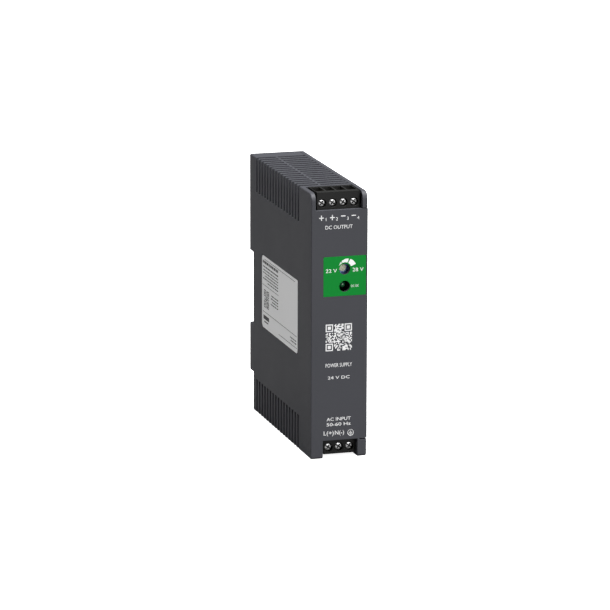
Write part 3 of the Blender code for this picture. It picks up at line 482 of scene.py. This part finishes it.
# a profile of (radius, along) pairs is spun about an axis through the place
def turned(name, profile, place, axis="Y", steps=32):
    bpy.ops.object.select_all(action="DESELECT")
    bpy.ops.mesh.primitive_plane_add(size=mm, location=(0, 0, 0))
    piece = bpy.context.object
    piece.name = name
    bpy.ops.object.mode_set(mode="EDIT")
    bpy.ops.mesh.select_all(action="SELECT")
    bpy.ops.mesh.merge(type="CENTER")
    bpy.ops.transform.translate(value=(profile[0][0], profile[0][1], 0))
    for (radius, along), (nextRadius, nextAlong) in zip(profile, profile[1:]):
        step = (nextRadius - radius, nextAlong - along, 0)
        bpy.ops.mesh.extrude_vertices_move(TRANSFORM_OT_translate={"value": step})
    bpy.ops.mesh.select_all(action="SELECT")
    bpy.ops.mesh.spin(steps=steps, angle=math.tau, center=(0, 0, 0), axis=(0, 1, 0))
    bpy.ops.mesh.select_all(action="SELECT")
    bpy.ops.mesh.remove_doubles(threshold=weld)
    bpy.ops.mesh.normals_make_consistent(inside=False)
    bpy.ops.object.mode_set(mode="OBJECT")
    bpy.ops.object.shade_smooth_by_angle(angle=smoothAngle)
    piece.rotation_euler = turnedToward[axis]
    piece.location = place
    bpy.ops.object.transform_apply(location=True, rotation=True, scale=True)
    return piece


def copyTo(piece, name, shift):
    copied = piece.copy()
    copied.data = piece.data.copy()
    copied.name = name
    bpy.context.scene.collection.objects.link(copied)
    copied.location = shift
    return copied


# picks edges or faces of a mesh by a test, ready for an edit mode tool
def pickParts(piece, kind, test):
    pickOnly(piece)
    bpy.context.tool_settings.mesh_select_mode = (False, kind == "edges", kind == "polygons")
    for group in (piece.data.vertices, piece.data.edges, piece.data.polygons):
        for item in group:
            item.select = False
    for item in getattr(piece.data, kind):
        item.select = test(item)
    bpy.ops.object.mode_set(mode="EDIT")


def leaveEdit():
    bpy.ops.object.mode_set(mode="OBJECT")
    bpy.context.tool_settings.mesh_select_mode = (True, False, False)


plateSetup = {"cornerSteps": 6, "holeSteps": 48, "drill": 4 * mm, "minimumAngle": 40}


# a thin plate with round corners, seen along its thin axis, with round holes through it
def plate(name, low, high, thinAxis, corner, edge, holes=()):
    piece = block(name, low, high)
    along = "XYZ".index(thinAxis)

    def isCorner(line):
        start, end = (piece.data.vertices[index].co for index in line.vertices)
        return abs((end - start)[along]) > 0.5 * (high[along] - low[along])

    pickParts(piece, "edges", isCorner)
    bpy.ops.mesh.bevel(offset=corner, offset_type="OFFSET", affect="EDGES",
                       segments=plateSetup["cornerSteps"])
    leaveEdit()
    for place, diameter in holes:
        pickOnly(piece)
        bpy.ops.mesh.primitive_cylinder_add(vertices=plateSetup["holeSteps"], radius=diameter / 2,
                                            depth=plateSetup["drill"], location=place,
                                            rotation=(math.pi / 2, 0, 0))
        combine(piece, bpy.context.object, "DIFFERENCE")
    return roundEdges(piece, edge, minimumAngle=plateSetup["minimumAngle"])


# shells

shellSetup = {"edge": 0.22 * mm, "terminalEdge": 0.12 * mm}
poleCounts = {"output": 4, "input": 3}

for nodeName, pieceName in (("main_housing", "housingShell"), ("side_cover", "coverShell")):
    settle(softCopy(nodeName, pieceName, shellSetup["edge"]), "housing", "shell_plastic", nodeName)
for side in poleCounts:
    nodeName = side + "_terminal_housing"
    terminal = softCopy(nodeName, side + "Block", shellSetup["terminalEdge"])
    settle(terminal, "housing", "terminal_plastic", nodeName)
print("shells rounded")


# terminal screws: a low crown, a combined recess and a threaded shank

screwSetup = {"rim": 0.30 * mm, "crown": 0.05 * mm, "chamfer": 0.1 * mm, "neck": 0.25 * mm,
              "thread": 0.14 * mm, "pitch": 0.45 * mm, "point": 0.4 * mm, "turn": 35.0,
              "slotWidth": 0.62 * mm, "slotDepth": 0.8 * mm, "overrun": 0.2 * mm, "crossWidth": 0.72 * mm,
              "crossLength": 2.2 * mm, "crossDepth": 1.0 * mm, "recessEdge": 0.03 * mm}
measureSetup = {"rimShare": 0.9, "belowHead": 0.3 * mm, "aboveTip": 0.1 * mm}
cageEdge = 0.1 * mm
toolStart = 0.5 * mm   # a cutter begins this far in front of the face it cuts


def screwProfile(head, shank, length, headLength, setup):
    chamfer, rim, crown = setup["chamfer"], setup["rim"], setup["crown"]
    profile = [(0, 0), (0.6 * head, 0.25 * crown), (head - rim, crown), (head - chamfer, 0.55 * rim),
               (head, rim + chamfer), (head, headLength - chamfer), (head - chamfer, headLength),
               (shank, headLength)]
    along = headLength + setup["neck"]
    while along < length - setup["point"] - setup["pitch"]:
        profile += [(shank, along), (shank + setup["thread"], along + 0.4 * setup["pitch"]),
                    (shank + setup["thread"], along + 0.55 * setup["pitch"])]
        along += setup["pitch"]
    profile += [(shank, along), (shank, length - setup["point"]), (0.6 * shank, length), (0, length)]
    return profile


# a bar across the middle of a face, turned about the face's normal
def cutBar(piece, place, length, width, depth, turn):
    bar = block("recess", (-length / 2, -toolStart, -width / 2), (length / 2, depth, width / 2))
    bar.rotation_euler = (0, math.radians(turn), 0)
    bar.location = place
    combine(piece, bar, "DIFFERENCE")


def cutRecess(screw, place, head, setup):
    turn = setup["turn"]
    cutBar(screw, place, 2 * (head + setup["overrun"]), setup["slotWidth"], setup["slotDepth"], turn)
    for quarter in (90, 0):
        cutBar(screw, place, setup["crossLength"], setup["crossWidth"], setup["crossDepth"], turn + quarter)
    return roundEdges(screw, setup["recessEdge"], segments=1, minimumAngle=50)


# the head's and the shank's sizes are read from the points of a plain screw
def measureScrew(nodeName, place, head, length, setup):
    points = [vertex.co - place for vertex in nodes[nodeName].data.vertices]
    headLength = max(point.y for point in points if point.xz.length > setup["rimShare"] * head)
    start, end = headLength + setup["belowHead"], length - setup["aboveTip"]
    shank = min(point.xz.length for point in points if start < point.y < end)
    return headLength, shank


def addScrews(setup):
    low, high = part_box("output_screw_1")
    place = Vector(((low.x + high.x) / 2, low.y, (low.z + high.z) / 2))
    head, length = (high.x - low.x) / 2, high.y - low.y
    headLength, shank = measureScrew("output_screw_1", place, head, length, measureSetup)
    master = turned("screwMaster", screwProfile(head, shank, length, headLength, setup), place)
    cutRecess(master, place, head, setup)
    for side, count in poleCounts.items():
        for number in range(1, count + 1):
            nodeName = "%s_screw_%d" % (side, number)
            nodeLow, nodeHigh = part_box(nodeName)
            shift = (nodeLow + nodeHigh) / 2 - (low + high) / 2
            settle(copyTo(master, "%sScrew%d" % (side, number), shift), nodeName, "plated_steel", nodeName,
                   look="screwSteel")
    bpy.data.objects.remove(master, do_unlink=True)


addScrews(screwSetup)
for side, count in poleCounts.items():
    for number in range(1, count + 1):
        cageName, barName = "%s_cage_%d" % (side, number), "%s_contact_%d" % (side, number)
        cage = softCopy(cageName, "%sCage%d" % (side, number), cageEdge)
        settle(cage, cageName, "tinned_brass", cageName)
        contact = softCopy(barName, "%sContact%d" % (side, number), cageEdge)
        settle(contact, "housing", "tinned_brass", barName)
print("terminals fitted")


# trimmer and lamp

trimmerSetup = {"bevel": 0.18 * mm, "bodyEdge": 0.3 * mm, "collarOuter": 2.35 * mm, "collarInner": 1.95 * mm,
                "collar": 0.9 * mm, "collarFoot": 0.5 * mm, "collarEdge": 0.1 * mm, "collarDish": 0.05 * mm,
                "slot": 0.55 * mm, "slotLength": 2.5 * mm, "slotDepth": 0.6 * mm,
                "arrow": 0.5 * mm, "arrowDepth": 0.35 * mm}
lampSetup = {"flange": 0.25 * mm, "flangeStart": 1.0 * mm, "edge": 0.1 * mm, "domeStep": 15}


# a round disc with a cross slot, and a small square that marks which way it points
def addRotor(setup):
    low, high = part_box("trimmer_rotor")
    place = Vector(((low.x + high.x) / 2, low.y, (low.z + high.z) / 2))
    radius, length, bevel = (high.x - low.x) / 2, high.y - low.y, setup["bevel"]
    rotor = turned("trimmerRotor", [(0, 0), (radius - bevel, 0), (radius, bevel), (radius, length - bevel),
                                    (radius - bevel, length), (0, length)], place, steps=40)
    for quarter in (0, 90):
        cutBar(rotor, place, setup["slotLength"], setup["slot"], setup["slotDepth"], quarter)
    arrowPlace = place + Vector((0, 0, setup["slotLength"] / 2))
    cutBar(rotor, arrowPlace, setup["arrow"], setup["arrow"], setup["arrowDepth"], 45)
    settle(rotor, "trimmer_rotor", "rotor_cream", "trimmer_rotor")
    return place


# a block with a collar around the rotor
def addTrimmerBody(rotorPlace, setup):
    low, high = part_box("trimmer_body")
    body = block("trimmerBody", low, high, setup["bodyEdge"])
    place = Vector((rotorPlace.x, low.y - setup["collar"], rotorPlace.z))
    outer, inner, edge = setup["collarOuter"], setup["collarInner"], setup["collarEdge"]
    deep = setup["collar"] + setup["collarFoot"]
    collar = turned("collar", [(0, setup["collarDish"]), (outer - edge, 0), (outer, edge), (outer, deep),
                               (0, deep)], place)
    combine(body, collar, "UNION")
    bore = turned("bore", [(0, -mm), (inner, -mm), (inner, setup["collar"]), (0, setup["collar"])], place)
    combine(body, bore, "DIFFERENCE")
    settle(body, "housing", "component_blue", "trimmer_body")


# a domed lamp with a flange near its foot
def addLamp(setup):
    low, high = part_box("status_lamp")
    place = Vector(((low.x + high.x) / 2, low.y, (low.z + high.z) / 2))
    radius, length = (high.x - low.x) / 2, high.y - low.y
    step, edge, flange = setup["domeStep"], setup["edge"], radius + setup["flange"]
    dome = [(radius * math.sin(turn), radius * (1 - math.cos(turn)))
            for turn in (math.radians(degrees) for degrees in range(0, 90 + step, step))]
    start = length - setup["flangeStart"]
    profile = dome + [(radius, start), (flange, start + edge), (flange, length - edge),
                      (flange - edge, length), (0, length)]
    settle(turned("statusLamp", profile, place), "housing", "lamp_green", "status_lamp")


rotorPlace = addRotor(trimmerSetup)
addTrimmerBody(rotorPlace, trimmerSetup)
addLamp(lampSetup)
print("trimmer and lamp fitted")


# label films

filmSetup = {"spread": 0.24 * mm, "proud": 0.02 * mm, "edge": 0.03 * mm, "corner": 0.5 * mm,
             "ratingCorner": 2.2 * mm, "hole": 5.3 * mm}
spread, proud = filmSetup["spread"], filmSetup["proud"]
dial = Vector((rotorPlace.x, front, rotorPlace.z))
lampLow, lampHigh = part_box("status_lamp")
lampPlace = Vector((dial.x, front, (lampLow.z + lampHigh.z) / 2))

low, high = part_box("front_panel_label")
holes = [(dial, filmSetup["hole"]), (lampPlace, filmSetup["hole"])]
panelFilm = plate("panelFilm", low - Vector((spread, proud, spread)), high + Vector((spread, 0, spread)),
                  "Y", filmSetup["corner"], filmSetup["edge"], holes)
settle(panelFilm, "housing", "panel_green", "front_panel_label")

low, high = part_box("rating_label")
ratingFilm = plate("ratingFilm", low - Vector((proud, spread, spread)), high + Vector((0, spread, spread)),
                   "X", filmSetup["ratingCorner"], filmSetup["edge"])
settle(ratingFilm, "housing", "label_film", "rating_label")
print("films laid")


# printing: thin plates of ink that stand a little out of the surface. Places on the front are measured from
# its left and lower edges, places on the label from the front and the lower edge, all in millimetres

# letterDepth and letterWeld are in the font's own units, before a word gets its size
inkSetup = {"thick": 0.03 * mm, "sunk": 0.01 * mm, "line": 0.22 * mm, "curveSteps": 3, "letterDepth": 0.02,
            "letterWeld": 0.00005}
thick = inkSetup["thick"]
filmBack = front - proud + inkSetup["sunk"]
shellBack = front + inkSetup["sunk"]
labelBack = left - proud + inkSetup["sunk"]


def onFront(x, z, back):
    return Vector((left + x * mm, back - thick / 2, cadLow.z + z * mm))


def onLabel(y, z):
    return Vector((labelBack - thick / 2, front + y * mm, cadLow.z + z * mm))


def bar(middle, size):
    half = Vector(size) / 2
    return block("bar", middle - half, middle + half)


def frontBar(x, z, width, height, back):
    return bar(onFront(x, z, back), (width * mm, thick, height * mm))


def sideBar(y, z, width, height):
    return bar(onLabel(y, z), (thick, width * mm, height * mm))


# letters drawn to the given width and height, or in proportion where no width is given
def word(text, x, z, width, height, back):
    bpy.ops.object.select_all(action="DESELECT")
    bpy.ops.object.text_add(location=(0, 0, 0))
    item = bpy.context.object
    item.data.body = text
    item.data.extrude = inkSetup["letterDepth"]
    item.data.resolution_u = inkSetup["curveSteps"]
    bpy.ops.object.convert(target="MESH")
    pickOnly(item)
    bpy.ops.object.mode_set(mode="EDIT")
    bpy.ops.mesh.select_all(action="SELECT")
    bpy.ops.mesh.remove_doubles(threshold=inkSetup["letterWeld"])
    bpy.ops.mesh.normals_make_consistent(inside=False)
    bpy.ops.object.mode_set(mode="OBJECT")
    bpy.ops.object.origin_set(type="ORIGIN_GEOMETRY", center="BOUNDS")
    size = item.dimensions
    tall = height * mm / size.y
    item.scale = (width * mm / size.x if width else tall, tall, thick / size.z)
    item.rotation_euler = (math.pi / 2, 0, 0)
    item.location = onFront(x, z, back)
    bpy.ops.object.transform_apply(location=True, rotation=True, scale=True)
    return item


def giveThickness(piece):
    solid = piece.modifiers.new("solid", "SOLIDIFY")
    solid.thickness = thick
    solid.offset = 0.0
    applyAll(piece)


# gap and square are shares of a cell; a mark is lit on its middle and on two of its rings
codeSetup = {"gap": 0.03, "square": 0.9, "chance": 0.5, "mark": 4, "lit": (0, 1, 3)}


# scattered squares with three square marks, which hold no message
def codeBlock(name, code, setup):
    cells, size = code["cells"], code["size"]
    bpy.ops.object.select_all(action="DESELECT")
    bpy.ops.mesh.primitive_grid_add(x_subdivisions=cells, y_subdivisions=cells, size=size, location=(0, 0, 0))
    piece = bpy.context.object
    piece.name = name
    bpy.ops.object.mode_set(mode="EDIT")
    bpy.ops.mesh.select_all(action="SELECT")
    bpy.ops.mesh.inset(thickness=setup["gap"] * size / cells, use_individual=True)
    bpy.ops.object.mode_set(mode="OBJECT")
    squareArea = (setup["square"] * size / cells) ** 2   # the rings around the squares are smaller
    pickParts(piece, "polygons", lambda face: face.area < squareArea)
    bpy.ops.mesh.delete(type="FACE")
    leaveEdit()
    chance = random.Random(code["seed"])
    filled = [[chance.random() < setup["chance"] for _ in range(cells)] for _ in range(cells)]
    near, far = setup["mark"] - 1, cells - setup["mark"]
    for row in range(cells):
        for column in range(cells):
            for cornerRow, cornerColumn in ((near, near), (far, near), (far, far)):
                ring = max(abs(row - cornerRow), abs(column - cornerColumn))
                if ring <= setup["mark"]:
                    filled[row][column] = ring in setup["lit"]

    def isEmpty(face):
        column = int((face.center.x / size + 0.5) * cells)
        row = int((face.center.y / size + 0.5) * cells)
        return not filled[row][column]

    pickParts(piece, "polygons", isEmpty)
    bpy.ops.mesh.delete(type="FACE")
    leaveEdit()
    giveThickness(piece)
    return piece


scaleSetup = {"inner": 3.2 * mm, "outer": 4.16 * mm, "shift": (1.278 * mm, 0.686 * mm), "steps": 10,
              "pieces": ((150, 117), (112, 68), (60, 22))}


# one piece of the scale around the trimmer: the inside follows the hole, the outside a larger, shifted circle
def scalePiece(name, start, end, setup):
    bpy.ops.object.select_all(action="DESELECT")
    bpy.ops.mesh.primitive_grid_add(x_subdivisions=setup["steps"], y_subdivisions=1, size=1.0,
                                    location=(0, 0, 0))
    piece = bpy.context.object
    piece.name = name
    shift = Vector(setup["shift"])
    for vertex in piece.data.vertices:
        turn = math.radians(start + (end - start) * (vertex.co.x + 0.5))
        toward = Vector((math.cos(turn), math.sin(turn)))
        along = toward.dot(shift)
        outer = along + math.sqrt(along * along - shift.length_squared + setup["outer"] ** 2)
        radius = setup["inner"] + (outer - setup["inner"]) * (vertex.co.y + 0.5)
        vertex.co = (dial.x + radius * toward.x, filmBack - thick / 2, dial.z + radius * toward.y)
    giveThickness(piece)
    return piece


def ringMark(x, z, diameter, back):
    place = onFront(x, z, back) - Vector((0, thick / 2, 0))
    outer, inner = diameter * mm / 2, diameter * mm / 2 - inkSetup["line"]
    mark = turned("ring", [(0, 0), (outer, 0), (outer, thick), (0, thick)], place)
    hole = turned("hole", [(0, -mm), (inner, -mm), (inner, mm), (0, mm)], place)
    return combine(mark, hole, "DIFFERENCE")


# each word has its text, the place of its middle, its width and its height
wordSetup = {
    "front": (("DC OUTPUT", 13.2, 109.05, 13.0, 1.7), ("POWER SUPPLY", 13.35, 44.2, 12.7, 1.75),
              ("24 V DC", 13.35, 38.3, 10.5, 1.4), ("AC INPUT", 13.4, 18.6, 11.6, 1.55),
              ("50-60 Hz", 13.4, 16.1, 11.6, 1.5), ("L(+)", 8.6, 11.8, 4.8, 2.6),
              ("N(-)", 13.8, 11.8, 4.4, 2.6)),
    "panel": (("22 V", 9.6, 88.7, 5.4, 1.7), ("28 V", 22.4, 88.7, 5.2, 1.7),
              ("DC OK", 20.9, 81.1, 3.6, 1.05)),
}
poleSetup = {"plus": (4.8, 10.0), "minus": (15.2, 20.2), "plusAt": 113.6, "minusAt": 114.1, "line": 0.42,
             "plusWidth": 2.2, "plusArm": 0.9, "plusGap": 0.07, "minusWidth": 2.1, "numberShift": 2.2,
             "numberAt": 112.9, "numberHeight": 1.5}
earthSetup = {"place": (19.2, 11.7), "ring": 3.0, "line": 0.2, "stem": (0.55, 0.7),
              "bars": ((0.05, 1.7), (-0.4, 1.15), (-0.85, 0.6))}


def addWords(words, back):
    return [word(text, x, z, width, height, back) for text, x, z, width, height in words]


# a plus is one bar across and an arm above and below it
def addPoleMarks(setup):
    parts = []
    armShift = (setup["line"] + setup["plusArm"]) / 2 + setup["plusGap"]
    for x in setup["plus"]:
        parts.append(frontBar(x, setup["plusAt"], setup["plusWidth"], setup["line"], shellBack))
        for shift in (armShift, -armShift):
            parts.append(frontBar(x, setup["plusAt"] + shift, setup["line"], setup["plusArm"], shellBack))
    for x in setup["minus"]:
        parts.append(frontBar(x, setup["minusAt"], setup["minusWidth"], setup["line"], shellBack))
    for number, x in enumerate(setup["plus"] + setup["minus"], 1):
        parts.append(word(str(number), x + setup["numberShift"], setup["numberAt"], 0, setup["numberHeight"],
                          shellBack))
    return parts


def addEarthMark(setup):
    x, z = setup["place"]
    shift, height = setup["stem"]
    parts = [ringMark(x, z, setup["ring"], shellBack),
             frontBar(x, z + shift, setup["line"], height, shellBack)]
    for shift, width in setup["bars"]:
        parts.append(frontBar(x, z + shift, width, setup["line"], shellBack))
    return parts


frontParts = addPoleMarks(poleSetup) + addWords(wordSetup["front"], shellBack) + addEarthMark(earthSetup)
settle(joinAll("frontPrint", frontParts), "housing", "label_film", look="whiteInk")

frontCodeSetup = {"cells": 25, "size": 12.6 * mm, "seed": 5, "place": (13.3, 57.3)}
frontCode = codeBlock("frontCode", frontCodeSetup, codeSetup)
frontCode.rotation_euler = (math.pi / 2, 0, 0)
frontCode.location = onFront(*frontCodeSetup["place"], shellBack)
settle(frontCode, "housing", "label_film", look="whiteInk")

panelParts = [scalePiece("scale", start, end, scaleSetup) for start, end in scaleSetup["pieces"]]
panelParts += addWords(wordSetup["panel"], filmBack)
settle(joinAll("panelPrint", panelParts), "housing", "label_film", look="whiteInk")


# rows of dashes, rules, a framed part and a code in place of the label's words. A row has its height on the
# label, where it starts and ends, and the size of its letters; a rule its height, middle and length
ratingSetup = {
    "rows": ((77.2, 54.0, 79.5, 1.3), (75.0, 54.0, 79.0, 0.7), (73.4, 54.0, 79.0, 0.55),
             (72.0, 54.0, 79.0, 0.55), (70.6, 54.0, 76.0, 0.55), (69.2, 54.0, 79.0, 0.55),
             (67.8, 54.0, 72.0, 0.55), (63.2, 54.0, 65.0, 0.6), (61.8, 54.0, 66.0, 0.55),
             (60.4, 54.0, 64.0, 0.55), (59.0, 54.0, 66.0, 0.55), (50.6, 24.0, 34.0, 0.55),
             (49.2, 24.0, 33.0, 0.55)),
    "rules": ((78.6, 51.5, 51.2), (66.0, 66.8, 27.0), (53.0, 51.5, 57.0), (47.4, 38.0, 30.0)),
    "ruleLine": 0.22, "blocks": ((74.0, 50.4, 9.5, 1.9), (74.0, 48.3, 6.5, 0.6)),
    "dash": (0.7, 2.8), "space": (0.35, 0.7), "overshoot": 0.4, "seed": 4,
    "code": {"cells": 19, "size": 8.6 * mm, "seed": 9, "place": (73.6, 59.6)},
}


def addRatingPrint(setup):
    chance = random.Random(setup["seed"])
    parts = []
    for z, start, end, height in setup["rows"]:
        y = start
        while y < end:
            width = min(chance.uniform(*setup["dash"]), end - y + setup["overshoot"])
            parts.append(sideBar(y + width / 2, z, width, height))
            y += width + chance.uniform(*setup["space"])
    for z, middle, width in setup["rules"]:
        parts.append(sideBar(middle, z, width, setup["ruleLine"]))
    for y, z, width, height in setup["blocks"]:
        parts.append(sideBar(y, z, width, height))
    settle(joinAll("ratingPrint", parts), "housing", "moulded_epoxy", look="darkInk")
    ratingCode = codeBlock("ratingCode", setup["code"], codeSetup)
    ratingCode.rotation_euler = (math.pi / 2, 0, -math.pi / 2)
    ratingCode.location = onLabel(*setup["code"]["place"])
    settle(ratingCode, "housing", "moulded_epoxy", look="darkInk")


addRatingPrint(ratingSetup)
print("printing laid")


# rail latch

latchEdge = 0.25 * mm
settle(softCopy("din_latch", "dinLatch", latchEdge), "din_latch", "latch_plastic", "din_latch")
print("latch fitted")


# boards and the parts on them

canSetup = {"bead": 0.35 * mm, "beadWidth": 0.8 * mm, "round": 0.8 * mm, "neck": 3.2, "lid": 0.82,
            "rim": 0.3 * mm, "rimTop": 0.1 * mm, "rimFoot": 0.15 * mm, "recess": 0.35 * mm,
            "lidDrop": 0.12 * mm, "lidGap": 0.05 * mm, "lidEdge": 0.07 * mm, "lidThick": 0.22 * mm}
inductorSetup = {"round": 0.3 * mm, "flange": 0.16, "core": 0.88, "wire": 0.93, "turns": 12, "step": 0.1 * mm}


# a sleeved can: round shoulder, rolled bead near one end, and an aluminium lid let into the sleeve
def addCan(nodeName, name, axis, setup):
    low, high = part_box(nodeName)
    along = "XYZ".index(axis)
    length = high[along] - low[along]
    radius = (high[(along + 1) % 3] - low[(along + 1) % 3]) / 2
    place = (low + high) / 2
    place[along] = low[along]
    bead, shoulder, lid = setup["bead"], setup["round"], setup["lid"] * radius
    beadEnd = length - setup["neck"] * shoulder
    profile = [(0, setup["recess"]), (lid, setup["recess"]), (lid, setup["rimTop"]), (lid + setup["rim"], 0),
               (radius - 0.4 * shoulder, setup["rimFoot"]), (radius, shoulder),
               (radius, beadEnd - setup["beadWidth"]), (radius - bead, beadEnd - 0.5 * setup["beadWidth"]),
               (radius, beadEnd), (radius, length - shoulder), (radius - shoulder, length), (0, length)]
    settle(turned(name, profile, place, axis), "housing", "capacitor_sleeve", nodeName)
    place[along] += setup["lidDrop"]
    lidOuter = lid - setup["lidGap"]
    lidProfile = [(0, 0), (lidOuter - setup["lidEdge"], 0), (lidOuter, setup["lidEdge"]),
                  (lidOuter, setup["lidThick"]), (0, setup["lidThick"])]
    settle(turned(name + "Lid", lidProfile, place, axis), "housing", "bare_aluminium")


addCan("bulk_capacitor", "bulkCan", "Y", canSetup)
for number in (1, 2):
    addCan("output_capacitor_%d" % number, "outputCan%d" % number, "X", canSetup)


# round ferrite with a wound groove
def addInductor(setup):
    low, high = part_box("output_inductor")
    place = Vector((low.x, (low.y + high.y) / 2, (low.z + high.z) / 2))
    radius, length = (high.z - low.z) / 2, high.x - low.x
    edge, flange, core, step = setup["round"], setup["flange"] * length, setup["core"] * radius, setup["step"]
    profile = [(0, 0), (radius - edge, 0), (radius, edge), (radius, flange), (core, flange + step)]
    wire = (length - 2 * (flange + step)) / setup["turns"]
    for turn in range(setup["turns"]):
        start = flange + step + turn * wire
        profile += [(setup["wire"] * radius, start + 0.5 * wire), (core, start + wire)]
    profile += [(radius, length - flange), (radius, length - edge), (radius - edge, length), (0, length)]
    settle(turned("outputInductor", profile, place, "X"), "housing", "enamelled_copper", "output_inductor")


addInductor(inductorSetup)

# how far each plain node inside has its edges rounded, in millimetres
softEdges = {
    "front_board": 0.1, "main_board": 0.1, "insulating_sheet": 0.05, "input_fuse": 0.3, "x_capacitor": 0.3,
    "bridge_rectifier": 0.15, "controller_chip": 0.1, "optocoupler": 0.1, "inrush_thermistor": 0.2,
    "surge_varistor": 0.2, "choke_core": 0.3, "choke_winding_lower": 0.2, "choke_winding_upper": 0.2,
    "y_capacitor": 0.2, "transformer_core": 0.25, "transformer_winding": 0.2, "primary_heatsink": 0.15,
    "secondary_heatsink": 0.15, "primary_heatsink_screw": 0.15, "secondary_heatsink_screw": 0.15,
    "switching_transistor": 0.15, "output_rectifier": 0.15, "lamp_spacer": 0.15,
}
slotOf = {part["node"]: part["material_slot"] for part in frame["record"]["subparts"]}
for nodeName, edge in softEdges.items():
    words = nodeName.split("_")
    pieceName = words[0] + "".join(piece.capitalize() for piece in words[1:])
    settle(softCopy(nodeName, pieceName, edge * mm), "housing", slotOf[nodeName], nodeName)
print("inside fitted")


# floor

floorSetup = {"size": 12.0, "seen": 0.55, "grainDark": 0.97, "bounced": 0.13, "glow": 0.9, "grain": 60.0,
              "patch": 2.0, "roughness": 0.9}


# the camera sees a bright floor, the object gets less light back from it
def addFloor(setup):
    bpy.ops.object.select_all(action="DESELECT")
    bpy.ops.mesh.primitive_plane_add(size=setup["size"], location=(0, 0, cadLow.z))
    floor = bpy.context.object
    floor.name = "floor"
    made, tree, shader = newMaterial("floorPaper", setup["roughness"])
    tone = placeGrain(tree, setup["grain"], setup["patch"]).outputs["Tone"]
    isSeen = tree.nodes.new("ShaderNodeLightPath").outputs["Is Camera Ray"]
    seen = mixColours(tree, tone, rgb(setup["seen"]), rgb(setup["grainDark"] * setup["seen"]))
    tree.links.new(mixColours(tree, isSeen, rgb(setup["bounced"]), seen), shader.inputs["Base Color"])
    tree.links.new(mixColours(tree, isSeen, rgb(0.0), rgb(setup["glow"])), shader.inputs["Emission Color"])
    shader.inputs["Emission Strength"].default_value = 1.0
    floor.data.materials.append(made)


addFloor(floorSetup)
